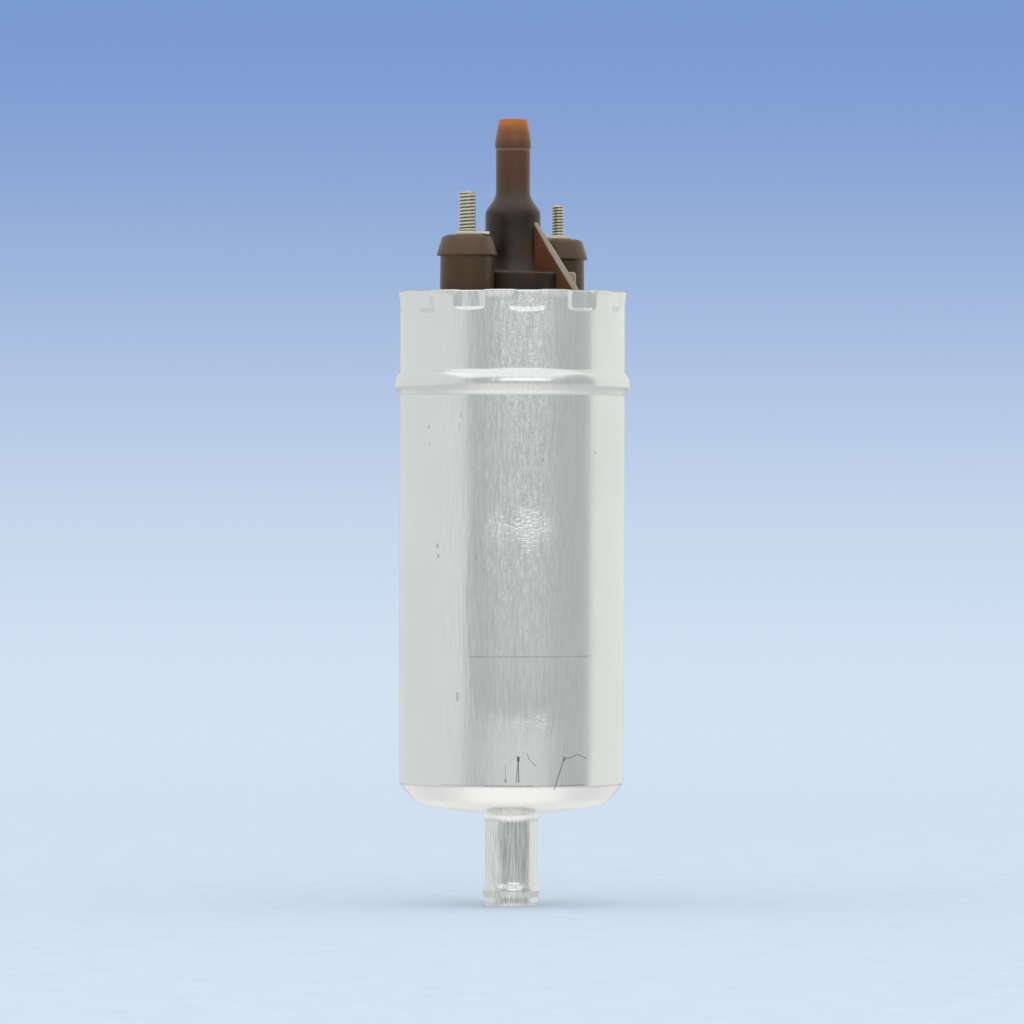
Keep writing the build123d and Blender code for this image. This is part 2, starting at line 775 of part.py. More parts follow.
for index in range(roller_count):
    with BuildPart() as roller:
        with BuildSketch(Plane.XY.offset(rotor_bottom + face_gap)):
            with Locations(on_circle(roller_circle, index * 360 / roller_count)):
                Circle(roller_radius)
        extrude(amount=rotor_top - rotor_bottom - 2 * face_gap)
    finish(roller, "roller_" + str(index + 1))

# Relief valve: a ball that its spring holds up against the seat
ball_centre_height = relief_seat_height - face_gap - math.sqrt(relief_ball_radius**2 - relief_seat_radius**2)
with BuildPart() as relief_ball:
    with Locations((*relief_centre, ball_centre_height)):
        Sphere(relief_ball_radius)
finish(relief_ball, "relief_ball")

relief_plug_top = base_plate_bottom + relief_plug_thickness
with BuildPart() as relief_spring:
    add(coil_spring(
        spring_wire, relief_spring_radius, relief_centre, relief_plug_top,
        ball_centre_height - relief_ball_radius + spring_wire / 2, relief_turns,
    ))
finish(relief_spring, "relief_spring")

with BuildPart() as relief_plug:
    with BuildSketch(Plane.XY.offset(base_plate_bottom)):
        with Locations(relief_centre):
            Circle(relief_bore_radius - press_gap)
            Circle(relief_hole_radius, mode=Mode.SUBTRACT)
    extrude(amount=relief_plug_thickness)
finish(relief_plug, "relief_plug")

# Motor: yoke tube with its magnets and clips
with BuildPart() as flux_tube:
    with BuildSketch(Plane.XY.offset(motor_bottom)):
        Circle(flux_tube_radius)
        Circle(flux_tube_bore_radius, mode=Mode.SUBTRACT)
    extrude(amount=motor_top - motor_bottom)
finish(flux_tube, "flux_tube")

for name, middle in (("magnet_right", 0), ("magnet_left", 180)):
    with BuildPart() as magnet:
        with BuildSketch(Plane.XY.offset(magnet_bottom)):
            add(ring_sector(magnet_radius, magnet_outer_radius, middle, magnet_span))
        extrude(amount=magnet_length)
    finish(magnet, name)

with BuildPart() as magnet_clips:
    clip_span = 180 - magnet_span - 2 * clip_side_gap
    clip_outer = magnet_outer_radius - press_gap
    with BuildSketch(Plane.XY.offset(magnet_bottom)):
        for middle in (90, 270):
            add(ring_sector(clip_outer - clip_thickness, clip_outer, middle, clip_span))
            leg_span = math.degrees(clip_thickness / clip_outer)
            for end in (-1, 1):
                leg_middle = middle + end * (clip_span - leg_span) / 2
                add(ring_sector(clip_outer - clip_leg, clip_outer, leg_middle, leg_span))
    extrude(amount=magnet_length)
finish(magnet_clips, "magnet_clips")

# Armature: shaft, slotted core, windings and face commutator
with BuildPart() as armature_shaft:
    with BuildSketch(Plane.XY.offset(shaft_bottom)):
        Circle(shaft_radius)
    extrude(amount=shaft_top - shaft_bottom)
    chamfer(armature_shaft.edges().group_by(Axis.Z)[0], stud_chamfer)
    # The shoulder between the lower washer and the core
    shoulder_bottom = end_plate_top + lower_washer_thickness + 2 * face_gap
    with BuildSketch(Plane.XY.offset(shoulder_bottom)):
        Circle(shaft_shoulder_radius)
    extrude(amount=core_bottom - press_gap - shoulder_bottom)
finish(armature_shaft, "armature_shaft")

with BuildPart() as armature_core:
    with BuildSketch(Plane.XY.offset(core_bottom)):
        Circle(core_radius)
        Circle(shaft_radius + press_gap, mode=Mode.SUBTRACT)
        with PolarLocations(0, slot_count):
            add(winding_slot(0), mode=Mode.SUBTRACT)
        with PolarLocations(slot_outer_radius - slot_mouth / 2, slot_count):
            Rectangle(core_radius, slot_mouth, align=(Align.MIN, Align.CENTER), mode=Mode.SUBTRACT)
    extrude(amount=core_length)
finish(armature_core, "armature_core")

with BuildPart() as armature_windings:
    with BuildSketch(Plane.XY.offset(core_bottom - slot_lining - winding_rounding)):
        with PolarLocations(0, slot_count):
            add(winding_slot(slot_lining))
    extrude(amount=core_length + 2 * slot_lining + 2 * winding_rounding)
    # End turns: a rounded ring at each end of the core
    with BuildSketch(Plane.XZ):
        ring_width = slot_outer_radius - winding_inner_radius
        for ring_middle in (
            core_bottom - slot_lining - winding_rise / 2,
            core_top + slot_lining + winding_rise / 2,
        ):
            with Locations(((slot_outer_radius + winding_inner_radius) / 2, ring_middle)):
                RectangleRounded(ring_width, winding_rise, winding_rounding)
    revolve(axis=Axis.Z)
finish(armature_windings, "armature_windings")

with BuildPart() as commutator_base:
    with BuildSketch(Plane.XY.offset(commutator_bottom)):
        Circle(commutator_radius)
        Circle(shaft_radius + press_gap, mode=Mode.SUBTRACT)
    extrude(amount=commutator_base_thickness)
    with BuildSketch(Plane.XY.offset(commutator_bottom + commutator_base_thickness)):
        Circle(commutator_inner_radius - press_gap)
        Circle(shaft_radius + press_gap, mode=Mode.SUBTRACT)
    extrude(amount=commutator_thickness - face_gap)
finish(commutator_base, "commutator_base")

with BuildPart() as commutator_segments:
    with BuildSketch(Plane.XY.offset(commutator_bottom + commutator_base_thickness)):
        Circle(commutator_radius)
        Circle(commutator_inner_radius, mode=Mode.SUBTRACT)
        with PolarLocations(0, commutator_bars):
            Rectangle(
                commutator_radius + overcut, commutator_slot,
                align=(Align.MIN, Align.CENTER), mode=Mode.SUBTRACT,
            )
    extrude(amount=commutator_thickness)
finish(commutator_segments, "commutator_segments")

# Bushes and thrust washers
bush_spans = {
    "upper_bush": carrier_bottom,
    "lower_bush": end_plate_top - bush_length,
}
for name, bottom in bush_spans.items():
    with BuildPart() as bush:
        with BuildSketch(Plane.XY.offset(bottom)):
            Circle(bush_radius)
            Circle(shaft_radius + running_gap, mode=Mode.SUBTRACT)
        extrude(amount=bush_length)
    finish(bush, name)

washer_spans = {
    "upper_thrust_washer": (commutator_face + face_gap, upper_washer_thickness),
    "lower_thrust_washer": (end_plate_top + face_gap, lower_washer_thickness),
}
for name, (bottom, thickness) in washer_spans.items():
    with BuildPart() as washer:
        with BuildSketch(Plane.XY.offset(bottom)):
            Circle(washer_radius)
            Circle(shaft_radius + press_gap, mode=Mode.SUBTRACT)
        extrude(amount=thickness)
    finish(washer, name)

# Brush carrier: a plastic body with two brush guides, fuel windows and the upper bearing
with BuildPart() as brush_carrier:
    with BuildSketch(Plane.XY.offset(carrier_bottom)):
        Circle(carrier_lower_radius)
    extrude(amount=motor_top - carrier_bottom)
    with BuildSketch(Plane.XY.offset(motor_top)):
        Circle(cover_radius)
    extrude(amount=carrier_flange)
    with BuildSketch(Plane.XY.offset(cover_bottom)):
        Circle(carrier_upper_radius)
    extrude(amount=carrier_top - cover_bottom)
    with BuildSketch(Plane.XY.offset(carrier_bottom)):
        Circle(bush_radius + press_gap)
        with PolarLocations(brush_circle, 2, start_angle=pod_angle):
            Rectangle(brush_radial + 2 * sliding_gap, brush_tangential + 2 * sliding_gap)
        with PolarLocations(carrier_window_circle, 2, start_angle=pod_angle + carrier_window_angle):
            Circle(carrier_window_radius)
        with PolarLocations(carrier_window_circle, 2, start_angle=pod_angle - carrier_window_angle):
            Circle(carrier_window_radius)
    extrude(amount=carrier_top - carrier_bottom, mode=Mode.SUBTRACT)
finish(brush_carrier, "brush_carrier")

# Brushes stand on the commutator's face, each under its spring
for name, side in (("positive", -1), ("negative", 1)):
    brush_angle = pod_angle + (180 if side < 0 else 0)
    brush_centre = on_circle(brush_circle, brush_angle)
    with BuildPart() as brush:
        with BuildSketch(Plane.XY.offset(brush_bottom)):
            with PolarLocations(brush_circle, 1, start_angle=brush_angle):
                Rectangle(brush_radial, brush_tangential)
        extrude(amount=brush_top - brush_bottom)
    finish(brush, name + "_brush")

    with BuildPart() as brush_spring:
        add(coil_spring(
            spring_wire, brush_spring_radius, brush_centre, brush_top, cover_ceiling, brush_spring_turns
        ))
    finish(brush_spring, name + "_brush_spring")

# Interference chokes stand on the carrier, a quarter turn from the studs
for name, side in (("positive", 0), ("negative", 180)):
    choke_angle = pod_angle + 90 + side
    choke_centre = on_circle(choke_circle, choke_angle)
    coil_pitch = (choke_top - carrier_top - 2 * choke_foot) / choke_turns
    with BuildPart() as choke:
        with BuildSketch(Plane.XZ.offset(-choke_centre[1])) as choke_section:
            with Locations((choke_centre[0], carrier_top)):
                Rectangle(choke_core_radius, choke_top - carrier_top, align=(Align.MIN, Align.MIN))
            for turn in range(choke_turns):
                turn_height = carrier_top + choke_foot + (turn + 1 / 2) * coil_pitch
                turn_radius = choke_coil_radius - coil_pitch / 2
                with Locations((choke_centre[0] + turn_radius, turn_height)):
                    Circle(coil_pitch / 2)
                with Locations((choke_centre[0], turn_height)):
                    Rectangle(turn_radius, coil_pitch, align=(Align.MIN, Align.CENTER))
        revolve(axis=Axis((choke_centre[0], choke_centre[1], 0), (0, 0, 1)))
    finish(choke, name + "_choke")

    # The lead runs round inside the cover from the stud's foot to the choke's core
    stud_angle = pod_angle + (180 if name == "positive" else 0)
    lead_end = choke_angle - math.degrees((choke_core_radius + press_gap) / choke_circle)
    lead_start = stud_angle + math.degrees((stud_foot_radius + press_gap) / pod_circle)
    lead_span = (lead_end - lead_start) % 360
    if lead_span > 180:
        lead_end = choke_angle + math.degrees((choke_core_radius + press_gap) / choke_circle)
        lead_start = stud_angle - math.degrees((stud_foot_radius + press_gap) / pod_circle)
        lead_span = -((lead_start - lead_end) % 360)
    with BuildPart() as lead:
        with BuildLine(Plane.XY.offset(lead_height)) as lead_path:
            CenterArc((0, 0), choke_circle, lead_start, lead_span)
        with BuildSketch(Plane(origin=lead_path.line @ 0, z_dir=lead_path.line % 0)):
            Circle(lead_radius)
        sweep()
    finish(lead, name + "_lead")

# Check valve: its seat is pressed into the dome, the cone lifts off it against its spring
with BuildPart() as check_seat:
    with BuildSketch(Plane.XY.offset(seat_bottom)):
        Circle(valve_bore_radius - press_gap)
        Circle(seat_hole_radius, mode=Mode.SUBTRACT)
    extrude(amount=seat_top - seat_bottom)
finish(check_seat, "check_seat")

with BuildPart() as check_seal:
    with BuildSketch(Plane.XY.offset(seal_bottom)):
        Circle(check_seal_radius)
        Circle(seat_hole_radius - soft_gap, mode=Mode.SUBTRACT)
    extrude(amount=check_seal_thickness)
finish(check_seal, "check_seal")

with BuildPart() as check_cone:
    with BuildSketch(Plane.XZ):
        with BuildLine():
            hub_radius = seat_hole_radius - 2 * soft_gap
            Polyline(
                (0, seal_bottom - check_cone_radius),
                (hub_radius, seal_bottom),
                (hub_radius, disc_bottom),
                (check_cone_radius, disc_bottom),
                (check_cone_radius, disc_bottom + check_disc_thickness),
                (check_stem_radius, disc_bottom + check_disc_thickness),
                (check_stem_radius, valve_bore_top - check_stem_short),
                (0, valve_bore_top - check_stem_short),
                close=True,
            )
        make_face()
    revolve(axis=Axis.Z)
finish(check_cone, "check_cone")

with BuildPart() as check_spring:
    add(coil_spring(
        spring_wire, check_spring_radius, (0, 0), disc_bottom + check_disc_thickness,
        valve_bore_top, check_spring_turns,
    ))
finish(check_spring, "check_spring")
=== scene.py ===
"""Inline electric fuel pump: surfaces, finishes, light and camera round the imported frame.

Lengths are millimetres in the frame's axes, except for the studio's, which are metres: origin at
the centre of the inlet tube's end, +Z up the can, -Y towards the viewer.
"""
from __future__ import annotations

import json
import logging
import math
from dataclasses import dataclass
from enum import Enum
from typing import Callable, Protocol, Sequence

import bmesh
import bpy
import numpy as np
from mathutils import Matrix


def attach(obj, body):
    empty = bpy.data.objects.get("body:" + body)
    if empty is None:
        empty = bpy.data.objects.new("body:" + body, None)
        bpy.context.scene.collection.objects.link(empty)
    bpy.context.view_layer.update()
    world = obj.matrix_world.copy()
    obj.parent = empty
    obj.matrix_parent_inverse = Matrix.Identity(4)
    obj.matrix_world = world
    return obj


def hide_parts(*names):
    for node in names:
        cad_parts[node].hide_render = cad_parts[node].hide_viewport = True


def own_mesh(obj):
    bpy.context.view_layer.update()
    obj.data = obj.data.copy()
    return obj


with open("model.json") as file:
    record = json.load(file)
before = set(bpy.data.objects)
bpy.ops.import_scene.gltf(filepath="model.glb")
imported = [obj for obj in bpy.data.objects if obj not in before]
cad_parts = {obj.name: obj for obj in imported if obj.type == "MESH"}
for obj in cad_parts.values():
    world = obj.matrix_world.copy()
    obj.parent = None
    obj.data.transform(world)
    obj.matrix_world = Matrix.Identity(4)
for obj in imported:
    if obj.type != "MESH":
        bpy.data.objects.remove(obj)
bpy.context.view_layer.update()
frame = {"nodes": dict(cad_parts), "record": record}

LOG = logging.getLogger("fuel_pump")
MM = 0.001
FULL_TURN = 2.0 * math.pi

# Metres: points closer than the first are merged, edges shorter than the second dissolved
MERGE_DISTANCE = 2e-6
LEAST_EDGE = 1e-7

Colour = tuple[float, float, float]
Point2 = tuple[float, float]
Point3 = tuple[float, float, float]
Corner = tuple[float, float, float]
Stroke = tuple[Point2, Point2, float, float]
Stops = tuple[tuple[float, Colour], ...]

# Heights, radii and places (x, y) that several pieces share
BEAD_HEIGHT = 120.5
DISC_TOP = 146.0
POD_TOP = 154.3
VALVE_BORE = 4.7
POD_FRONT: Point2 = (-10.45, -14.0)
POD_REAR: Point2 = (10.45, 14.0)
HOLE_FRONT = 2.35
HOLE_REAR = 1.85
BRUSH_FRONT: Point2 = (-6.101, -8.174)
BRUSH_REAR: Point2 = (6.101, 8.174)


class Slot(str, Enum):
    """The record's material slots."""

    ALUMINIUM = "drawn_aluminium"
    BROWN_PLASTIC = "brown_plastic"
    PLATED_STEEL = "plated_steel"
    SEAL_RUBBER = "seal_rubber"
    YOKE_STEEL = "yoke_steel"
    FERRITE = "ferrite"
    SPRING_STEEL = "spring_steel"
    CORE_STEEL = "core_steel"
    MACHINE_STEEL = "machine_steel"
    ENAMELLED_COPPER = "enamelled_copper"
    BARE_COPPER = "bare_copper"
    BEARING_BRONZE = "bearing_bronze"
    BRASS = "brass"
    CARBON = "carbon"
    BLACK_PLASTIC = "black_plastic"


class Grain(Enum):
    """The direction in which a finish is drawn out: how often its pattern repeats per metre."""

    EVEN = (1.0, 1.0, 1.0)
    UPRIGHT = (1.0, 1.0, 0.07)
    ROUND = (0.06, 0.06, 1.0)
    ACROSS = (0.7, 0.7, 1.3)
    FLECK = (1.0, 1.0, 0.2)


# Surfaces


def smooth_step(value: np.ndarray) -> np.ndarray:
    """Rises from 0 to 1 as value goes from 0 to 1, level at both ends: t * t * (3 - 2 t)."""
    held = np.clip(value, 0.0, 1.0)
    return held * held * (3.0 - 2.0 * held)


def round_angles(columns: int) -> np.ndarray:
    """The angles of a full turn in equal steps, from 0."""
    return np.arange(columns) * FULL_TURN / columns


def rows_of(radius: np.ndarray | float, height: np.ndarray | float) -> np.ndarray:
    """Rows of radius and height, where one of them may be the same for all."""
    return np.stack(np.broadcast_arrays(radius, height), axis=-1)


def polar(
    radius: np.ndarray | float, angle: np.ndarray, height: np.ndarray | float,
    centre: Point2 = (0.0, 0.0),
) -> np.ndarray:
    """Points about an upright axis: x = cx + r cos a, y = cy + r sin a, z = height.

    Args:
        radius: The distances r from the axis.
        angle: The angles a.
        height: The heights, of a shape that goes with the other two.
        centre: Where the axis stands, cx and cy.

    Returns:
        The points, with x, y and z along a new last axis.
    """
    x = centre[0] + radius * np.cos(angle)
    y = centre[1] + radius * np.sin(angle)
    return np.stack(np.broadcast_arrays(x, y, height), axis=-1)


def turned_corners(corners: Sequence[Corner], arc_steps: int = 6) -> np.ndarray:
    """Closed outline through corners (across, up, rounding), each turned by a circular arc.

    With u and v the unit directions from a corner to its neighbours and h half the angle
    between them, the arc starts at corner + u * rounding / tan h, ends at corner + v * rounding
    / tan h, and its points swing evenly about corner + (u + v) / |u + v| * rounding / sin h.

    Args:
        corners: Across, up and rounding radius of each corner, in order.
        arc_steps: Number of chords in each arc.

    Returns:
        The outline's points, one row each, with repeated points left out.
    """
    table = np.array(corners, float)
    point, rounding = table[:, :2], table[:, 2]
    before = np.roll(point, 1, axis=0) - point
    after = np.roll(point, -1, axis=0) - point
    length_before = np.linalg.norm(before, axis=1)
    length_after = np.linalg.norm(after, axis=1)
    u = before / length_before[:, None]
    v = after / length_after[:, None]
    half = np.arccos(np.clip((u * v).sum(axis=1), -1.0, 1.0)) / 2.0
    half = np.minimum(half, math.pi / 2.0 - 1e-4)
    reach = np.minimum(rounding / np.tan(half), 0.48 * np.minimum(length_before, length_after))
    reach = np.maximum(reach, 1e-5)
    radius = reach * np.tan(half)
    middle = u + v
    middle = middle / np.maximum(np.linalg.norm(middle, axis=1), 1e-9)[:, None]
    centre = point + middle * (radius / np.sin(half))[:, None]
    start = point + u * reach[:, None] - centre
    end = point + v * reach[:, None] - centre
    swing = math.pi - 2.0 * half
    share = np.linspace(0.0, 1.0, arc_steps + 1)[None, :, None]
    angle = swing[:, None, None]
    arcs = centre[:, None, :] + (
        np.sin((1.0 - share) * angle) * start[:, None, :] + np.sin(share * angle) * end[:, None, :]
    ) / np.sin(angle)
    outline = arcs.reshape(-1, 2)
    gap = np.linalg.norm(outline - np.roll(outline, 1, axis=0), axis=1)
    return outline[gap > 1e-4]


def divided(outline: np.ndarray, longest: float) -> np.ndarray:
    """Long straight runs of a closed outline divided, with closer points near their ends.

    A run of length L gets n = ceil(L / longest) + 2 parts, if it is longer than longest, and the
    point of share f moves to (1 - cos(pi f)) / 2, so that rounded corners keep tight neighbours.

    Args:
        outline: Points, one row each.
        longest: Longest run left, in millimetres.

    Returns:
        The outline with the added points.
    """
    following = np.roll(outline, -1, axis=0)
    run = np.linalg.norm(following - outline, axis=1)
    parts = np.maximum(np.ceil(run / longest).astype(int), 1)
    parts = np.where(parts > 1, parts + 2, 1)
    index = np.repeat(np.arange(len(outline)), parts)
    first = np.repeat(np.cumsum(parts) - parts, parts)
    share = (np.arange(parts.sum()) - first) / np.repeat(parts, parts)
    eased = (1.0 - np.cos(math.pi * share)) / 2.0
    return outline[index] + eased[:, None] * (following[index] - outline[index])


def turned(profile: np.ndarray, columns: int, centre: Point2 = (0.0, 0.0)) -> np.ndarray:
    """Surface of revolution of a profile about an upright axis.

    Args:
        profile: Rows of radius and height.
        columns: Number of angles round the axis.
        centre: Where the axis stands.

    Returns:
        Grid of points, profile rows by angles by three.
    """
    return polar(profile[:, :1], round_angles(columns), profile[:, 1:2], centre)


def slab(
    outline: np.ndarray, half: Callable[[np.ndarray], np.ndarray], rounding: float, steps: int = 4
) -> np.ndarray:
    """A plate with rounded edges, from the outline of its face.

    Across the plate, layer k stands at half - rounding + rounding sin q with the outline drawn
    in by rounding (1 - cos q), as q goes from 0 to 90 degrees on each side, and both faces
    close in on the outline's middle in straight lines.

    Args:
        outline: Closed outline in the plate's plane, rows of across and up.
        half: Gives half the plate's thickness at heights up the outline.
        rounding: Radius of the edges.
        steps: Chords in each edge's rounding.

    Returns:
        Grid of points (across, up, through), layers by outline points by three.
    """
    following = np.roll(outline, -1, axis=0)
    side = following - np.roll(outline, 1, axis=0)
    inward = np.stack([-side[:, 1], side[:, 0]], axis=1)
    inward = inward / np.linalg.norm(inward, axis=1)[:, None]
    area = np.sum(outline[:, 0] * following[:, 1] - following[:, 0] * outline[:, 1])
    inward = inward * math.copysign(1.0, area)
    turn = np.linspace(0.0, math.pi / 2.0, steps + 1)[:, None]
    rim = outline[None] + inward[None] * (rounding * (1.0 - np.cos(turn)))[..., None]
    middle = outline.mean(axis=0)
    shares = np.array([0.94, 0.8, 0.6, 0.4, 0.2, 0.0])[:, None, None]
    face = shares * (rim[-1] - middle)[None] + middle
    plane = np.concatenate([rim, face], axis=0)
    drop = np.concatenate([rounding * (np.sin(turn) - 1.0), np.zeros((len(shares), 1))], axis=0)
    upper = np.concatenate([plane, (half(plane[..., 1]) + drop)[..., None]], axis=2)
    lower = upper * np.array([1.0, 1.0, -1.0])
    return np.concatenate([lower[::-1], upper], axis=0)


def stood_up(plate: np.ndarray, azimuth: float = 0.0) -> np.ndarray:
    """A slab's points stood up so that it reaches from the axis along an azimuth.

    x = across cos a - through sin a, y = across sin a + through cos a and z = up.

    Args:
        plate: Grid of points (across, up, through).
        azimuth: The direction a of across, in degrees.

    Returns:
        Grid of points (x, y, z).
    """
    across, up, through = np.moveaxis(plate, -1, 0)
    cosine, sine = math.cos(math.radians(azimuth)), math.sin(math.radians(azimuth))
    return np.stack([across * cosine - through * sine, across * sine + through * cosine, up], axis=-1)


def piece_from_grid(
    name: str, grid: np.ndarray, closed_rows: bool, smooth: float = 40.0
) -> bpy.types.Object:
    """A closed mesh object from a grid whose columns join up.

    Quad (i, j) joins grid points (i, j), (i, j + 1), (i + 1, j + 1) and (i + 1, j), and the
    faces are turned over where the enclosed volume, the sum of a . (b x c) / 6, is negative.

    Args:
        name: Name of the object and its mesh.
        grid: Points in millimetres, rows by columns by three.
        closed_rows: Whether the last row joins the first.
        smooth: Largest angle between faces that is shaded smooth, in degrees.

    Returns:
        The new object, linked to the scene.
    """
    rows, columns = grid.shape[:2]
    row = np.arange(rows if closed_rows else rows - 1)[:, None]
    column = np.arange(columns)[None, :]
    next_row, next_column = (row + 1) % rows, (column + 1) % columns
    quads = np.stack(
        [
            row * columns + column,
            row * columns + next_column,
            next_row * columns + next_column,
            next_row * columns + column,
        ],
        axis=-1,
    ).reshape(-1, 4)
    flat = grid.reshape(-1, 3) * MM
    a, b, c, d = (flat[quads[:, k]] for k in range(4))
    volume = np.sum(a * np.cross(b, c)) + np.sum(a * np.cross(c, d))
    if volume < 0.0:
        quads = quads[:, ::-1]
    mesh = bpy.data.meshes.new(name)
    mesh.vertices.add(len(flat))
    mesh.vertices.foreach_set("co", flat.astype(np.float32).ravel())
    mesh.loops.add(quads.size)
    mesh.loops.foreach_set("vertex_index", quads.astype(np.int32).ravel())
    mesh.polygons.add(len(quads))
    mesh.polygons.foreach_set("loop_start", np.arange(0, quads.size, 4, dtype=np.int32))
    mesh.update(calc_edges=True)
    merged = bmesh.new()
    merged.from_mesh(mesh)
    bmesh.ops.remove_doubles(merged, verts=merged.verts, dist=MERGE_DISTANCE)
    bmesh.ops.dissolve_degenerate(merged, edges=merged.edges, dist=LEAST_EDGE)
    merged.to_mesh(mesh)
    merged.free()
    mesh.shade_smooth()
    mesh.set_sharp_from_angle(angle=math.radians(smooth))
    made = bpy.data.objects.new(name, mesh)
    bpy.context.scene.collection.objects.link(made)
    return made


def turned_piece(
    name: str, section: Sequence[Corner], longest: float, arc_steps: int = 6, columns: int = 96,
    centre: Point2 = (0.0, 0.0),
) -> bpy.types.Object:
    """A piece turned from the closed outline through its section's corners.

    Args:
        name: Name of the piece.
        section: Radius, height and rounding of each corner.
        longest: Longest straight run in the outline.
        arc_steps: Number of chords in each corner.
        columns: Number of angles round the axis.
        centre: Where the axis stands.

    Returns:
        The new piece.
    """
    profile = divided(turned_corners(section, arc_steps), longest)
    return piece_from_grid(name, turned(profile, columns, centre), closed_rows=True)


def vectors(items: bpy.types.bpy_prop_collection, key: str) -> np.ndarray:
    """One vector of each of a mesh's items, as rows of three.

    Args:
        items: The mesh's vertices or their normals.
        key: What the vector is called there.

    Returns:
        The vectors, one row each.
    """
    flat = np.empty(len(items) * 3, np.float32)
    items.foreach_get(key, flat)
    return flat.reshape(-1, 3)


def store(piece: bpy.types.Object, name: str, values: np.ndarray) -> None:
    """Store a value at each point of a piece, as an attribute that its material reads."""
    attribute = piece.data.attributes.new(name, "FLOAT", "POINT")
    attribute.data.foreach_set("value", values.astype(np.float32))


# Finishes


class NodeSheet:
    """A material's or a world's nodes, with short calls for the ones that are used here."""

    def __init__(self, owner: bpy.types.Material | bpy.types.World, place: str = "Object") -> None:
        """Start with the owner's own nodes and its coordinates.

        Args:
            owner: The material or world.
            place: Which texture coordinate the patterns read.
        """
        self.owner = owner
        owner.use_nodes = True
        self.tree = owner.node_tree
        self.shader = next((n for n in self.tree.nodes if n.type == "BSDF_PRINCIPLED"), None)
        outputs = ("OUTPUT_MATERIAL", "OUTPUT_WORLD")
        self.output = next(n for n in self.tree.nodes if n.type in outputs)
        self.place = self.add("ShaderNodeTexCoord").outputs[place]

    @classmethod
    def of_material(cls, name: str) -> NodeSheet:
        """The sheet of a new material."""
        return cls(bpy.data.materials.new(name))

    def add(self, kind: str, *inputs: object, **settings: object) -> bpy.types.Node:
        """A new node of a kind.

        Args:
            kind: The node's type.
            inputs: Values or sockets for its first inputs, in order.
            settings: Properties of the node, set before the inputs.

        Returns:
            The node.
        """
        node = self.tree.nodes.new(kind)
        for key, value in settings.items():
            setattr(node, key, value)
        for place, value in enumerate(inputs):
            self.feed(node, place, value)
        return node

    def feed(self, node: bpy.types.Node, name: str | int, value: object) -> None:
        """Link or set one input of a node.

        Args:
            node: The node.
            name: The input's name or number.
            value: A socket to link or a value to set.
        """
        if isinstance(value, bpy.types.NodeSocket):
            self.tree.links.new(value, node.inputs[name])
        else:
            node.inputs[name].default_value = value

    def surface(self, **inputs: object) -> bpy.types.Material:
        """Link or set the shader's inputs.

        Args:
            inputs: Values or sockets by the inputs' names, with underscores for spaces.

        Returns:
            The finished material.
        """
        for key, value in inputs.items():
            self.feed(self.shader, key.replace("_", " "), value)
        return self.owner

    def show(self, share: object, first: bpy.types.NodeSocket, second: bpy.types.NodeSocket) -> None:
        """Send a mix of two shaders, by a share of 0 to 1, to the output."""
        mixed = self.add("ShaderNodeMixShader", share, first, second)
        self.feed(self.output, "Surface", mixed.outputs[0])

    def noise(
        self, per_metre: float, grain: Grain = Grain.EVEN, detail: float = 3.0
    ) -> bpy.types.NodeSocket:
        """Fractal noise on the object's own place.

        Args:
            per_metre: How often the pattern repeats per metre.
            grain: How the pattern is drawn out.
            detail: Number of finer layers.

        Returns:
            The noise value's socket, 0 to 1.
        """
        mapping = self.add("ShaderNodeMapping", self.place)
        self.feed(mapping, "Scale", tuple(per_metre * axis for axis in grain.value))
        noise = self.add("ShaderNodeTexNoise", mapping.outputs["Vector"])
        self.feed(noise, "Scale", 1.0)
        self.feed(noise, "Detail", detail)
        return noise.outputs["Fac"]

    def reckon(self, operation: str, *values: object) -> bpy.types.NodeSocket:
        """One arithmetic step on one, two or three values."""
        return self.add("ShaderNodeMath", *values, operation=operation).outputs[0]

    def product(self, first: object, *factors: object) -> bpy.types.NodeSocket:
        """The product of two or more values.

        Args:
            first: The first value or socket.
            factors: The others.

        Returns:
            The product's socket.
        """
        for factor in factors:
            first = self.reckon("MULTIPLY", first, factor)
        return first

    def away(self, value: object, middle: float = 0.0) -> bpy.types.NodeSocket:
        """How far a value is from a middle one."""
        return self.reckon("ABSOLUTE", self.reckon("SUBTRACT", value, middle))

    def between(
        self, value: object, low: float, high: float, out_low: float = 0.0, out_high: float = 1.0
    ) -> bpy.types.NodeSocket:
        """The value carried smoothly from low..high to out_low..out_high, held at both ends.

        Args:
            value: The value's socket.
            low: Start of its range.
            high: End of its range.
            out_low: What it becomes up to low.
            out_high: What it becomes from high on.

        Returns:
            The carried value's socket.
        """
        inputs = (value, low, high, out_low, out_high)
        return self.add("ShaderNodeMapRange", *inputs, interpolation_type="SMOOTHSTEP").outputs["Result"]

    def graded(self, noise: object, out_low: float = 0.0, out_high: float = 1.0) -> bpy.types.NodeSocket:
        """A noise's usual range, 0.3 to 0.7, carried smoothly to out_low..out_high."""
        return self.between(noise, 0.3, 0.7, out_low, out_high)

    def blend(self, share: object, first: object, second: object) -> bpy.types.NodeSocket:
        """A colour between two colours, by a share of 0 to 1.

        Args:
            share: How much of the second one.
            first: A colour or a socket.
            second: A colour or a socket.

        Returns:
            The colour's socket.
        """
        node = self.add("ShaderNodeMix", share, data_type="RGBA")
        for key, given in ((6, first), (7, second)):
            self.feed(node, key, (*given, 1.0) if isinstance(given, tuple) else given)
        return node.outputs[2]

    def axes(self, unit: float = MM) -> tuple[bpy.types.NodeSocket, ...]:
        """The x, y and z of the object's own place, in millimetres or in another unit."""
        scaled = self.add("ShaderNodeVectorMath", self.place, operation="SCALE")
        self.feed(scaled, "Scale", 1.0 / unit)
        return tuple(self.add("ShaderNodeSeparateXYZ", scaled.outputs[0]).outputs)

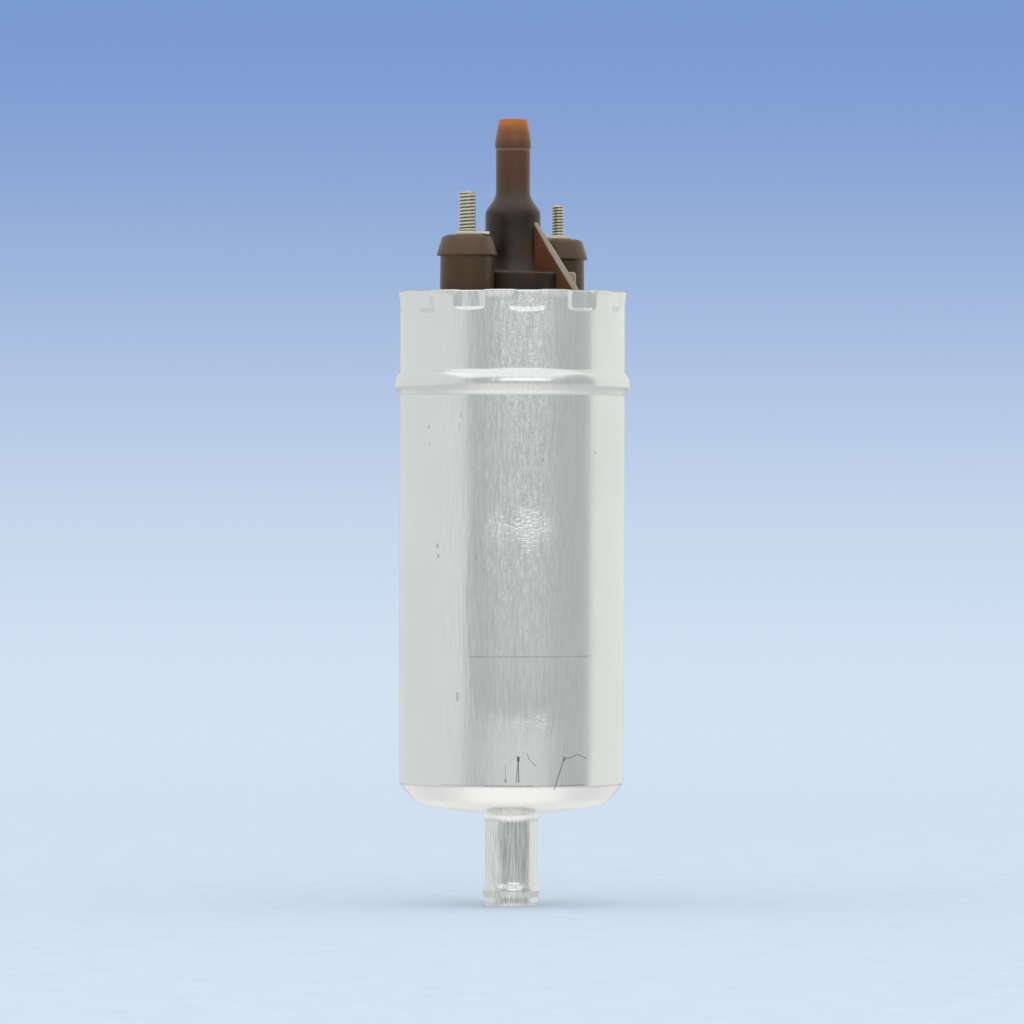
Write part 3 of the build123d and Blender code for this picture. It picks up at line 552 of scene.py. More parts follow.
    def attribute(self, name: str) -> bpy.types.NodeSocket:
        """The value that is stored at the mesh's points under a name."""
        return self.add("ShaderNodeAttribute", attribute_name=name).outputs["Fac"]

    def bump(self, height: object, depth: float, below: object = None) -> bpy.types.NodeSocket:
        """A bump of a height pattern.

        Args:
            height: The pattern's socket.
            depth: How deep it is for a height of 1, in millimetres.
            below: The normal of an earlier bump that it lies on.

        Returns:
            The normal's socket.
        """
        node = self.add("ShaderNodeBump", 1.0, depth * MM)
        self.feed(node, "Height", height)
        if below is not None:
            self.feed(node, "Normal", below)
        return node.outputs["Normal"]

    def stroke(self, start: Point2, end: Point2, width: float) -> bpy.types.NodeSocket:
        """A hairline on the front, 1 on the line and 0 beside it.

        The distance is that of the point (x, z) from the nearest point A + t D of the line, with
        t = (P - A) . D / D . D held between 0 and 1.

        Args:
            start: x and z of one end A.
            end: x and z of the other end.
            width: The line's width.

        Returns:
            The line's mask.
        """
        kind = "ShaderNodeVectorMath"
        across, up = end[0] - start[0], end[1] - start[1]
        square = across**2 + up**2
        from_start = self.add(
            kind, self.place, (1.0 / MM, 0.0, 1.0 / MM), (-start[0], 0.0, -start[1]), operation="MULTIPLY_ADD"
        ).outputs[0]
        dot = self.add(kind, from_start, (across / square, 0.0, up / square), operation="DOT_PRODUCT")
        held = self.add("ShaderNodeClamp", dot.outputs["Value"]).outputs[0]
        reach = self.add(kind, (across, 0.0, up), operation="SCALE")
        self.feed(reach, "Scale", held)
        apart = self.add(kind, from_start, reach.outputs[0], operation="DISTANCE").outputs["Value"]
        return self.between(apart, 0.25 * width, 0.75 * width, 1.0, 0.0)


class Finish(Protocol):
    """What every finish can do."""

    def material(self) -> bpy.types.Material:
        """Make the finish's material."""


@dataclass(frozen=True)
class DrawnAluminium:
    """Bare deep-drawn aluminium: satin, with upright draw marks, orange peel, marks of use and painted light.

    A mark is a stroke on the front from one (x, z) to another, with its width and its darkness
    from 0 to 1. A fade is the pair of places between which a pattern comes or goes: depths of y,
    distances beside the middle, or heights. Depths of the relief are millimetres.
    """

    pale: Colour = (0.86, 0.865, 0.855)
    dull: Colour = (0.79, 0.80, 0.79)
    # bright: painted glints on the front's middle and the pan's painted reflection; shade: painted shade
    # among the glints
    bright: Colour = (0.95, 0.95, 0.94)
    shade: Colour = (0.735, 0.75, 0.755)
    # lines: the inlet tube's draw lines, darkened in its middle as painted shade; mark: real marks and
    # painted shade
    lines: Colour = (0.56, 0.58, 0.58)
    mark: Colour = (0.09, 0.09, 0.08)
    front_fade: Point2 = (-4.0, 0.0)
    middle: float = 1.0
    middle_fade: Point2 = (4.0, 14.0)
    quiet_fade: Point2 = (10.0, 19.0)
    fleck_and_glint_fade: Point2 = (50.0, 75.0)
    bead_fade: Point2 = (2.2, 3.6)
    tube_fade: Point2 = (19.0, 20.5)
    tube_line_fade: Point2 = (3.4, 4.8)
    pan_fade: Point2 = (27.5, 28.4)
    worn_fade: Point2 = (36.0, 48.0)
    peel_fade: Point2 = (30.0, 50.0)
    peel_bands: tuple[Point2, ...] = ((87.0, 7.0), (42.5, 6.0))
    peel_edge: Point2 = (3.0, 6.0)
    peel_lobes: float = 12.0
    line_depth: float = 0.05
    fleck_depth: float = 0.06
    peel_depth: float = 0.18
    scribe: Stroke = ((-9.6, 57.8), (18.0, 57.9), 0.30, 0.35)
    marks: tuple[Stroke, ...] = (
        # Painted dark reflection line along the wall-to-pan tangent
        ((-6.0, 28.4), (5.0, 28.4), 0.28, 0.5),
        ((11.0, 28.4), (16.5, 28.5), 0.28, 0.45),
        ((-16.0, 28.5), (17.5, 28.4), 0.20, 0.25),
        # Painted shadow in three crimp pockets
        ((-20.8, 137.0), (-18.2, 136.9), 1.10, 0.13),
        ((-18.5, 139.4), (-18.6, 137.6), 1.20, 0.10),
        ((23.4, 137.4), (23.9, 137.3), 1.30, 0.16),
        ((1.6, 34.9), (1.6, 34.2), 0.60, 0.9),
        ((1.6, 34.7), (1.7, 29.2), 0.24, 0.8),
        ((1.6, 34.7), (1.1, 29.2), 0.20, 0.7),
        ((-1.35, 33.3), (-1.3, 29.2), 0.20, 0.4),
        ((-1.3, 29.9), (-1.3, 29.4), 0.50, 0.5),
        ((3.6, 35.9), (3.9, 34.7), 0.20, 0.5),
        ((3.9, 34.7), (5.6, 32.9), 0.20, 0.5),
        ((12.1, 34.8), (12.0, 34.3), 0.65, 0.6),
        ((12.0, 34.5), (9.8, 27.6), 0.24, 0.7),
        ((12.1, 34.4), (15.2, 35.5), 0.20, 0.55),
        ((15.2, 35.5), (17.2, 34.5), 0.20, 0.55),
        ((-19.0, 110.4), (-19.0, 109.9), 0.50, 0.22),
        ((-18.8, 106.6), (-18.8, 106.2), 0.45, 0.2),
        ((-11.8, 113.4), (-11.7, 112.4), 0.40, 0.2),
        ((-12.0, 110.8), (-12.0, 110.0), 0.40, 0.2),
        ((-17.0, 83.4), (-17.0, 82.6), 0.50, 0.3),
        ((-16.8, 81.0), (-16.8, 80.4), 0.55, 0.35),
        ((-8.1, 81.0), (-8.1, 80.0), 0.40, 0.2),
        ((-12.4, 49.4), (-12.3, 47.9), 0.45, 0.35),
        ((7.0, 103.0), (7.0, 102.3), 0.45, 0.2),
        ((19.0, 104.6), (19.0, 104.2), 0.45, 0.2),
    )

    def marks_and_painted_shade(self, sheet: NodeSheet, fleck: bpy.types.NodeSocket) -> bpy.types.NodeSocket:
        """The mask of the scribed line, dotted by the fleck, and of every mark, some of which are painted
        shade.

        Args:
            sheet: The material's nodes.
            fleck: The noise that dots the line.

        Returns:
            The mask's socket, 0 to 1.
        """
        start, end, width, dark = self.scribe
        dots = sheet.between(fleck, 0.42, 0.56, 0.15 * dark, dark)
        mask = sheet.product(sheet.stroke(start, end, width), dots)
        for start, end, width, dark in self.marks:
            mask = sheet.reckon("MAXIMUM", mask, sheet.product(sheet.stroke(start, end, width), dark))
        return mask

    def ripples(
        self, sheet: NodeSheet, cloud: bpy.types.NodeSocket, z: bpy.types.NodeSocket
    ) -> bpy.types.NodeSocket:
        """How strong the orange peel is: in lobed bands round the can, and faintly in clouds.

        Args:
            sheet: The material's nodes.
            cloud: The noise of the clouds.
            z: The height's socket.

        Returns:
            The strength's socket, 0 to 1.
        """
        lobes = sheet.noise(260.0, Grain.UPRIGHT, 2.0)
        strength = sheet.product(cloud, sheet.between(z, *self.peel_fade, 0.0, 0.3))
        for height, reach in self.peel_bands:
            apart = sheet.reckon("MULTIPLY_ADD", lobes, self.peel_lobes, sheet.away(z, height))
            band = sheet.between(apart, self.peel_edge[0], reach + self.peel_edge[1], 1.0, 0.0)
            strength = sheet.reckon("MAXIMUM", strength, band)
        return strength

    def material(self) -> bpy.types.Material:
        """The material of the can: colour, roughness and bump from noise and marks, with painted light in the
        colour.
        """
        sheet = NodeSheet.of_material("drawn_aluminium")
        streak = sheet.noise(2300.0, Grain.UPRIGHT, 5.0)
        broad = sheet.noise(600.0, Grain.UPRIGHT, 3.0)
        fleck = sheet.noise(2500.0, Grain.FLECK, 4.0)
        peel = sheet.noise(1500.0, Grain.ACROSS, 3.0)
        cloud = sheet.noise(55.0, Grain.EVEN, 3.0)
        x, y, z = sheet.axes()
        beside = sheet.away(x)
        front = sheet.between(y, *self.front_fade, 1.0, 0.0)
        middle = sheet.between(sheet.away(x, self.middle), *self.middle_fade, 1.0, 0.0)
        middle = sheet.product(middle, front)
        off_bead = sheet.between(sheet.away(z, BEAD_HEIGHT), *self.bead_fade, 0.12, 1.0)
        fleck_and_glint_middle = sheet.product(middle, sheet.between(z, *self.fleck_and_glint_fade, 0.25, 1.0), off_bead)
        quiet = sheet.between(beside, *self.quiet_fade, 1.0, 0.2)
        streak = sheet.reckon("MULTIPLY_ADD", sheet.reckon("SUBTRACT", streak, 0.5), quiet, 0.5)
        tube = sheet.between(z, *self.tube_fade, 1.0, 0.0)
        # Mask of the bottom pan's painted reflection
        pan = sheet.reckon("SUBTRACT", sheet.between(z, *self.pan_fade, 1.0, 0.0), tube)
        # The tube's middle, where its lines carry the most painted shade
        tube_middle = sheet.between(beside, *self.tube_line_fade, 1.0, 0.15)

        colour = sheet.blend(sheet.graded(streak), self.dull, self.pale)
        for share, tint in (
            (sheet.between(cloud, 0.35, 0.75, 0.0, 0.5), self.dull),
            # Painted glints and painted shade among the flecks of the front's middle, over their real bump
            (sheet.product(fleck_and_glint_middle, sheet.between(fleck, 0.52, 0.7, 0.0, 0.8)), self.bright),
            (sheet.product(fleck_and_glint_middle, sheet.between(fleck, 0.32, 0.5, 0.6, 0.0)), self.shade),
            # Painted reflection: the bottom pan is lighter, standing in for a pale floor mirrored there
            (pan, self.bright),
            # Draw lines on the inlet tube: partly real lines, partly painted shade of the dark front mirrored
            # in its middle
            (sheet.product(tube, tube_middle, sheet.between(streak, 0.35, 0.6, 0.75, 0.0)), self.lines),
            # Scribe, scratches and pits, with painted shade in crimp pockets and a painted dark line at the
            # pan's edge
            (sheet.product(self.marks_and_painted_shade(sheet, fleck), front), self.mark),
        ):
            colour = sheet.blend(share, colour, tint)

        rough = sheet.between(sheet.reckon("ADD", streak, cloud), 0.75, 1.25, 0.19, 0.27)
        above_pan = sheet.reckon("GREATER_THAN", z, self.pan_fade[1])
        worn = sheet.product(middle, sheet.between(z, *self.worn_fade, 0.2, 0.0), above_pan)
        rough = sheet.reckon("ADD", rough, worn)

        lines = sheet.product(sheet.reckon("MULTIPLY_ADD", streak, 0.5, broad), quiet)
        flecks = sheet.product(sheet.reckon("SUBTRACT", fleck, 0.5), fleck_and_glint_middle)
        strength = sheet.product(middle, self.ripples(sheet, cloud, z))
        ripples = sheet.product(sheet.reckon("SUBTRACT", peel, 0.5), strength)
        normal = sheet.bump(lines, self.line_depth)
        normal = sheet.bump(flecks, self.fleck_depth, normal)
        normal = sheet.bump(ripples, self.peel_depth, normal)
        return sheet.surface(Base_Color=colour, Metallic=1.0, Roughness=rough, Normal=normal)


@dataclass(frozen=True)
class BrownPlastic:
    """Glass-filled brown plastic: dark where thick, redder and paler where thin; some bands are painted
    light.

    The colour goes through the stops, each a height in millimetres and a colour, and edges
    marked by the edge attribute take the edge colour, a painted highlight.
    """

    name: str = "brown_plastic"
    stops: Stops = (
        # Paler from 145.95 mm up: a painted highlight on the disc's top edge and face
        (120.0, (0.020, 0.013, 0.008)), (145.55, (0.022, 0.014, 0.008)), (145.95, (0.080, 0.066, 0.046)),
    )
    warm: Colour = (0.10, 0.036, 0.014)
    # edge: the painted highlight on edges marked by the edge attribute
    edge: Colour = (0.30, 0.25, 0.19)

    def material(self) -> bpy.types.Material:
        """The material of one moulded piece, with a fine glass-fibre grain."""
        sheet = NodeSheet.of_material(self.name)
        cloud = sheet.noise(170.0, Grain.EVEN, 3.0)
        fibre = sheet.noise(2600.0, Grain.EVEN, 4.0)
        _, _, z = sheet.axes()
        colour = self.stops[0][1]
        for (low, _), (high, tint) in zip(self.stops, self.stops[1:]):
            colour = sheet.blend(sheet.between(z, low, high), colour, tint)
        colour = sheet.blend(sheet.between(cloud, 0.45, 0.8, 0.0, 0.5), colour, self.warm)
        colour = sheet.blend(sheet.attribute("edge"), colour, self.edge)
        rough = sheet.graded(fibre, 0.30, 0.42)
        return sheet.surface(
            Base_Color=colour, Roughness=rough, Normal=sheet.bump(fibre, 0.02), Specular_IOR_Level=0.32,
            Subsurface_Weight=0.3, Subsurface_Radius=(1.0, 0.35, 0.12), Subsurface_Scale=1.5 * MM,
        )


@dataclass(frozen=True)
class PlatedSteel:
    """Zinc-plated steel, bright on the threads' crests, with painted shade, dark olive, in their roots."""

    crest: Colour = (0.66, 0.64, 0.53)
    # root: painted shade in the threads' roots
    root: Colour = (0.20, 0.19, 0.13)

    def material(self) -> bpy.types.Material:
        """The material of studs and plates: the depth attribute paints shade into the threads' roots."""
        sheet = NodeSheet.of_material("plated_steel")
        grain = sheet.noise(2400.0, Grain.EVEN, 4.0)
        depth = sheet.reckon("MULTIPLY_ADD", grain, 0.3, sheet.attribute("depth"))
        # Painted shade: the deeper a point, the more of the root colour
        colour = sheet.blend(sheet.between(depth, 0.25, 0.9), self.crest, self.root)
        rough = sheet.graded(grain, 0.32, 0.5)
        normal = sheet.bump(grain, 0.02)
        return sheet.surface(Base_Color=colour, Metallic=0.85, Roughness=rough, Normal=normal)


@dataclass(frozen=True)
class WorkedMetal:
    """Turned, ground, stamped or sintered metal with its tool marks.

    Marks and stains are noises with a number per metre and a number of finer layers.
    """

    name: str
    pale: Colour
    dull: Colour
    grain: Grain = Grain.ROUND
    marks: Point2 = (6000.0, 3.0)
    rough: Point2 = (0.25, 0.42)
    metallic: float = 1.0
    stains: Point2 = (300.0, 4.0)
    relief: float = 0.01

    def material(self) -> bpy.types.Material:
        """Colour, roughness and bump from the marks and the stains."""
        sheet = NodeSheet.of_material(self.name)
        mark = sheet.noise(self.marks[0], self.grain, self.marks[1])
        stain = sheet.noise(self.stains[0], Grain.EVEN, self.stains[1])
        share = sheet.between(sheet.reckon("ADD", mark, stain), 0.75, 1.25)
        return sheet.surface(
            Base_Color=sheet.blend(share, self.dull, self.pale), Metallic=self.metallic,
            Roughness=sheet.graded(mark, *self.rough), Normal=sheet.bump(mark, self.relief),
        )


@dataclass(frozen=True)
class MouldedMatter(WorkedMetal):
    """Rubber, ferrite, carbon or plain plastic: a fine even grain in place of tool marks."""

    grain: Grain = Grain.EVEN
    marks: Point2 = (3000.0, 4.0)
    rough: Point2 = (0.5, 0.7)
    metallic: float = 0.0
    stains: Point2 = (240.0, 2.0)
    relief: float = 0.02


FINISHES: dict[Slot, Finish] = {
    Slot.ALUMINIUM: DrawnAluminium(),
    Slot.BROWN_PLASTIC: BrownPlastic(),
    Slot.PLATED_STEEL: PlatedSteel(),
    Slot.SEAL_RUBBER: MouldedMatter("seal_rubber", (0.04, 0.04, 0.04), (0.018, 0.018, 0.018)),
    Slot.YOKE_STEEL: WorkedMetal("yoke_steel", (0.40, 0.40, 0.40), (0.22, 0.22, 0.23), rough=(0.45, 0.65)),
    Slot.FERRITE: MouldedMatter("ferrite", (0.10, 0.10, 0.11), (0.05, 0.05, 0.055)),
    Slot.SPRING_STEEL: WorkedMetal(
        "spring_steel", (0.62, 0.62, 0.64), (0.42, 0.42, 0.44), Grain.UPRIGHT
    ),
    Slot.CORE_STEEL: WorkedMetal(
        "core_steel", (0.42, 0.42, 0.43), (0.18, 0.18, 0.19), marks=(2000.0, 3.0)
    ),
    Slot.MACHINE_STEEL: WorkedMetal("machine_steel", (0.66, 0.66, 0.66), (0.46, 0.46, 0.47)),
    Slot.ENAMELLED_COPPER: WorkedMetal(
        "enamelled_copper", (0.62, 0.24, 0.09), (0.34, 0.11, 0.04), Grain.EVEN, (2400.0, 3.0), (0.2, 0.35),
        metallic=0.9,
    ),
    Slot.BARE_COPPER: WorkedMetal("bare_copper", (0.80, 0.44, 0.26), (0.52, 0.25, 0.13)),
    Slot.BEARING_BRONZE: WorkedMetal(
        "bearing_bronze", (0.58, 0.40, 0.19), (0.34, 0.22, 0.10), rough=(0.4, 0.6)
    ),
    Slot.BRASS: WorkedMetal("brass", (0.78, 0.60, 0.28), (0.56, 0.41, 0.18)),
    Slot.CARBON: MouldedMatter("carbon", (0.055, 0.055, 0.058), (0.025, 0.025, 0.026), rough=(0.4, 0.55)),
    Slot.BLACK_PLASTIC: MouldedMatter("black_plastic", (0.05, 0.05, 0.055), (0.025, 0.025, 0.028)),
}


class Wardrobe:
    """Makes each finish once and puts it on pieces and nodes."""

    def __init__(self) -> None:
        """Start with no material made."""
        self.made: dict[Slot, bpy.types.Material] = {}

    def finish(self, slot: Slot) -> bpy.types.Material:
        """The material of a slot, made at its first use."""
        if slot not in self.made:
            self.made[slot] = FINISHES[slot].material()
        return self.made[slot]

    def dress(
        self, piece: bpy.types.Object, slot: Slot, nodes: Sequence[str], own: Finish | None = None
    ) -> bpy.types.Object:
        """Put a finish on a new piece and let it stand for CAD nodes of the pump's root body.

        Args:
            piece: The new piece.
            slot: The record slot of its finish.
            nodes: The CAD nodes that it stands for.
            own: A finish of its own, in place of the slot's usual one.

        Returns:
            The piece.
        """
        piece.data.materials.append(own.material() if own else self.finish(slot))
        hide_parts(*nodes)
        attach(piece, "root")
        return piece

    def dress_nodes(self) -> int:
        """Put the finishes on the CAD nodes.

        Returns:
            The number of nodes dressed.
        """
        parts = frame["record"]["subparts"]
        for part in parts:
            node = frame["nodes"][part["node"]]
            material = self.finish(Slot(part["material_slot"]))
            if not node.material_slots:
                node.data.materials.append(material)
            for place in node.material_slots:
                place.material = material
        return len(parts)


# Sub-assemblies


@dataclass
class DrawnCan:
    """The can with its inlet tube, hose bulge, bead and crimped rim, as one drawn sheet.

    The sizes named step are distances between rows of points, and a spread is the range from
    which a value is drawn for each crimp.
    """

    radius: float = 26.0
    wall: float = 1.5
    tube_radius: float = 5.98
    tube_wall: float = 1.18
    tube_end_round: float = 0.45
    tube_start: float = 1.1
    tube_top: float = 6.5
    bulge_height: float = 3.65
    bulge_half: float = 1.9
    bulge_rise: float = 0.42
    bore_follows: float = 0.8
    bore_lip: tuple[Point2, ...] = ((0.3, 0.12), (0.55, 0.0))
    throat_slack: float = 0.1
    throat_height: float = 21.5
    end_flare: float = 0.2
    flare_low: float = 2.0
    flare_end: float = 6.4
    base: tuple[Corner, ...] = (
        (20.0, 60.0, 0.0), (20.0, 6.0, 0.0), (5.98, 6.0, 0.0), (6.03, 19.9, 1.5), (7.2, 21.1, 0.9),
        (22.0, 23.25, 6.0), (25.78, 28.1, 0.9), (26.0, 44.0, 600.0), (26.0, 60.0, 0.0),
    )
    base_top: float = 59.0
    bead_height: float = BEAD_HEIGHT
    bead_half: float = 2.75
    bead_rise: float = 1.2
    bead_fillet: float = 0.22
    bead_reach: float = 3.4
    bead_step: float = 0.2
    rim: float = 141.65
    rim_round: float = 0.45
    fine_step: float = 0.16
    crimps: int = 12
    crimp_first: float = -82.4
    crimp_half: float = 3.15
    crimp_side: float = 2.3
    crimp_ledge: float = 136.75
    crimp_start: float = 1.0
    crimp_inner_lag: float = 1.4
    crimp_ledge_rise: float = 0.8
    crimp_curve: float = 0.0022
    crimp_depth: float = 0.5
    seed: int = 12
    depth_spread: Point2 = (0.85, 1.12)
    ledge_spread: Point2 = (-0.15, 0.15)
    width_spread: Point2 = (0.93, 1.06)
    rim_drop: float = 0.08
    drop_rise: float = 2.5
    rim_flare: float = 0.45
    flare_start: float = 138.9
    columns: int = 300

    def bulge(self, height: np.ndarray) -> np.ndarray:
        """How far the tube stands out near its end: rise * cos^2 of the way from the bulge's middle.

        Below the flare's end the tube is wider by end flare * the smooth step of the way down.

        Args:
            height: Heights up the can.

        Returns:
            The distances outwards.
        """
        way = np.clip((height - self.bulge_height) / self.bulge_half, -1.0, 1.0)
        down = (self.flare_end - height) / (self.flare_end - self.flare_low)
        return self.bulge_rise * np.cos(way * math.pi / 2.0) ** 2 + self.end_flare * smooth_step(down)

    def bead(self, height: np.ndarray) -> np.ndarray:
        """How far the bead stands out: a circular arc joined to the wall by a smooth maximum.

        The arc of radius R = (half^2 + rise^2) / (2 rise) stands a = sqrt(R^2 - d^2) - R + rise
        out at distance d from its middle. Within the fillet f of the wall it becomes
        (a + f)^2 / (4 f).

        Args:
            height: Heights up the can.

        Returns:
            The distances outwards.
        """
        arc_radius = (self.bead_half**2 + self.bead_rise**2) / (2.0 * self.bead_rise)
        away = height - self.bead_height
        inside = np.maximum(arc_radius**2 - away**2, 0.0)
        stand = np.sqrt(inside) - arc_radius + self.bead_rise
        eased = (stand + self.bead_fillet) ** 2 / (4.0 * self.bead_fillet)
        return np.where(np.abs(stand) < self.bead_fillet, eased, np.maximum(stand, 0.0))

    def profile(self) -> np.ndarray:
        """The can's closed section, up its outside and down its inside, rows of radius and height."""
        base = divided(turned_corners(self.base, 10), 2.0)
        base = base[np.argmin(base.sum(axis=1)) + 1:]
        base = base[(base[:, 1] > self.tube_top) & (base[:, 1] < self.base_top)]
        return np.concatenate([self.outside(base), self.inside(base)])

    def outside(self, base: np.ndarray) -> np.ndarray:
        """The section from the tube's end up to the rim and over it.

        The rows stand close together on the tube, the bead and the crimps, and apart elsewhere.

        Args:
            base: The outside of the can's bottom, from the tube up to the wall.

        Returns:
            Rows of radius and height.
        """
        quarter = np.linspace(0.0, math.pi / 2.0, 9)
        round_end = self.tube_end_round
        tip = self.tube_radius + self.end_flare - round_end
        tube_up = np.arange(self.tube_start, self.flare_end, self.fine_step)
        low, high = self.bead_height - self.bead_reach, self.bead_height + self.bead_reach
        rim_foot = self.rim - self.rim_round
        wall_up = np.concatenate([
            np.linspace(base[-1, 1] + 1.0, low - self.bead_step, 14),
            np.arange(low, high + 0.01, self.bead_step),
            np.linspace(high + 0.6, self.crimp_ledge - 1.4, 6),
            np.arange(self.crimp_ledge - 1.1, rim_foot - 0.05, self.fine_step),
        ])
        turn = np.linspace(0.0, math.pi, 9)
        half_wall = self.wall / 2
        rim_radius = self.radius - half_wall + half_wall * np.cos(turn)
        return np.concatenate([
            rows_of(tip + round_end * np.sin(quarter), 2 * round_end * (1 - np.cos(quarter))),
            rows_of(self.tube_radius + self.bulge(tube_up), tube_up),
            base,
            rows_of(self.radius + self.bead(wall_up), wall_up),
            rows_of(rim_radius, rim_foot + self.rim_round * np.sin(turn)),
        ])

    def inside(self, base: np.ndarray) -> np.ndarray:
        """The section from the rim down to the bore's end.

        The bottom's inside is every second point of its outside, moved by the wall along its
        normal (-dz, dr) / length. Points that would come below or inside the bore's top edge are
        left out.

        Args:
            base: The outside of the can's bottom, from the tube up to the wall.

        Returns:
            Rows of radius and height.
        """
        low, high = self.bead_height - self.bead_reach, self.bead_height + self.bead_reach
        wall_down = np.concatenate([
            np.arange(self.rim - self.rim_round - 0.2, self.crimp_ledge - 1.2, -0.3),
            np.linspace(self.crimp_ledge - 2.0, high + 0.6, 4),
            np.arange(high, low - 0.01, -0.5),
            np.linspace(low - 1.0, base[-1, 1] + 1.0, 5),
        ])
        side = np.gradient(base, axis=0)
        normal = np.stack([-side[:, 1], side[:, 0]], axis=1) / np.linalg.norm(side, axis=1)[:, None]
        moved = (base + self.wall * normal)[::-2]
        clear = (moved[:, 0] > self.tube_radius - self.throat_slack) & (moved[:, 1] > self.throat_height)
        bottom = moved[clear]
        bore_down = np.concatenate([
            np.linspace(bottom[-1, 1] - 0.6, self.tube_top, 6), np.arange(self.tube_top - 0.4, 1.4, -0.4),
            [0.9, 0.45],
        ])
        bore = self.tube_radius - self.tube_wall
        return np.concatenate([
            rows_of(self.radius - self.wall + self.bead(wall_down), wall_down),
            bottom,
            rows_of(bore + self.bore_follows * self.bulge(bore_down), bore_down),
            np.array([bore, 0.0]) + self.bore_lip,
        ])

    def crimp(self, grid: np.ndarray) -> np.ndarray:
        """Press the crimps into the rim and flare it between them.

        At arc distance s from the nearest crimp's middle the mask is the smooth step of
        (half + side / 2 - |s|) / side. The wall moves in by depth * mask * smooth step of
        (z - ledge - curve * s^4) / ledge rise, and out by flare * (1 - mask) * the squared way to
        the rim. Inside the wall the ledge lies higher by the inner lag. A crimp's top comes down
        by rim drop * mask * smooth step of the way above the ledge / drop rise.

        Args:
            grid: The can's points.

        Returns:
            The points with the crimps.
        """
        draw = np.random.default_rng(self.seed)
        depth = self.crimp_depth * draw.uniform(*self.depth_spread, self.crimps)
        ledge = self.crimp_ledge + draw.uniform(*self.ledge_spread, self.crimps)
        wide = self.crimp_half * draw.uniform(*self.width_spread, self.crimps)
        x, y, z = np.moveaxis(grid, -1, 0)
        radius, angle = np.hypot(x, y), np.arctan2(y, x)
        pitch = FULL_TURN / self.crimps
        place = (angle - math.radians(self.crimp_first)) / pitch
        nearest = np.round(place)
        which = nearest.astype(int) % self.crimps
        distance = np.abs(place - nearest) * pitch * self.radius
        mask = smooth_step((wide[which] + self.crimp_side / 2 - distance) / self.crimp_side)
        inner = radius < self.radius - self.wall / 2
        start = ledge[which] + np.where(inner, self.crimp_inner_lag, 0.0) + self.crimp_curve * distance**4
        pressed = depth[which] * mask * smooth_step((z - start) / self.crimp_ledge_rise)
        way = np.clip((z - self.flare_start) / (self.rim - self.flare_start), 0.0, 1.0)
        flared = self.rim_flare * (1.0 - mask) * way**2
        moved = np.where(z > self.crimp_ledge - self.crimp_start, radius - pressed + flared, radius)
        above = smooth_step((z - self.crimp_ledge - self.crimp_start) / self.drop_rise)
        return polar(moved, angle, z - self.rim_drop * mask * above)

    def build(self, wardrobe: Wardrobe) -> bpy.types.Object:
        """Turn the section, crimp the rim and dress the can.

        Args:
            wardrobe: What dresses it.

        Returns:
            The piece.
        """
        grid = self.crimp(turned(self.profile(), self.columns))
        piece = piece_from_grid("drawn_can", grid, closed_rows=True, smooth=60.0)
        return wardrobe.dress(piece, Slot.ALUMINIUM, ["can_housing", "inlet_tube"])


@dataclass
class Outlet:
    """The outlet: hose barb, neck and the dome that holds the check valve."""

    bore: float = 2.4
    valve_bore: float = VALVE_BORE
    valve_top: float = 158.4
    foot: float = DISC_TOP
    finish: BrownPlastic = BrownPlastic(
        "outlet_plastic",
        (
            # Pale at 146 mm, fading out by 151: a painted reflection low on the dome
            (146.0, (0.062, 0.052, 0.040)), (151.0, (0.014, 0.010, 0.006)), (158.5, (0.016, 0.011, 0.007)),
            # The grey at 163 mm: a painted highlight on the dome's shoulder
            (163.0, (0.060, 0.045, 0.032)), (167.0, (0.078, 0.034, 0.018)), (174.15, (0.089, 0.039, 0.022)),
            # The pale pair at 174.4 and 174.65 mm: a painted highlight under the barb's step
            (174.4, (0.18, 0.11, 0.07)), (174.65, (0.18, 0.11, 0.07)), (174.9, (0.090, 0.040, 0.022)),
            (178.0, (0.17, 0.070, 0.025)), (181.3, (0.42, 0.14, 0.022)),
        ),
        (0.10, 0.034, 0.014),
    )
    section: tuple[Corner, ...] = (
        (2.4, 181.5, 0.25), (3.3, 181.5, 0.25), (4.1, 176.6, 1.6), (4.2, 174.95, 0.3),
        (3.97, 174.6, 0.12), (3.92, 163.5, 5.0), (6.38, 160.2, 2.4), (6.38, 156.2, 4.0),
        (7.3, 146.5, 0.5), (7.8, DISC_TOP, 0.0),
    )

    def build(self, wardrobe: Wardrobe) -> bpy.types.Object:
        """Turn the section about the axis and dress it.

        Args:
            wardrobe: What dresses it.

        Returns:
            The piece.
        """
        inside = (
            (self.valve_bore, self.foot, 0.0), (self.valve_bore, self.valve_top, 0.4),
            (self.bore, self.valve_top, 0.3),
        )
        piece = turned_piece("outlet", self.section + inside, 1.6, arc_steps=8)
        return wardrobe.dress(piece, Slot.BROWN_PLASTIC, ["outlet_fitting"], self.finish)


@dataclass
class CoverPlate:
    """The cover's plate with the disc on it and the skirt and seal groove below."""

    section: tuple[Corner, ...] = (
        (VALVE_BORE, DISC_TOP, 0.15), (12.65, DISC_TOP, 0.35), (12.45, 138.2, 0.5), (24.3, 138.2, 0.35),
        (24.3, 131.3, 0.1), (22.4, 131.3, 0.2), (22.4, 128.3, 0.2), (24.3, 128.3, 0.1),
        (24.3, 120.0, 0.3), (21.8, 120.0, 0.3), (21.8, 134.2, 0.6), (VALVE_BORE, 134.2, 0.2),
    )

    def build(self, wardrobe: Wardrobe) -> bpy.types.Object:
        """Turn the section about the axis and dress it.

        Args:
            wardrobe: What dresses it.

        Returns:
            The piece.
        """
        piece = turned_piece("cover_plate", self.section, 2.0, columns=192)
        return wardrobe.dress(piece, Slot.BROWN_PLASTIC, ["end_cover"])


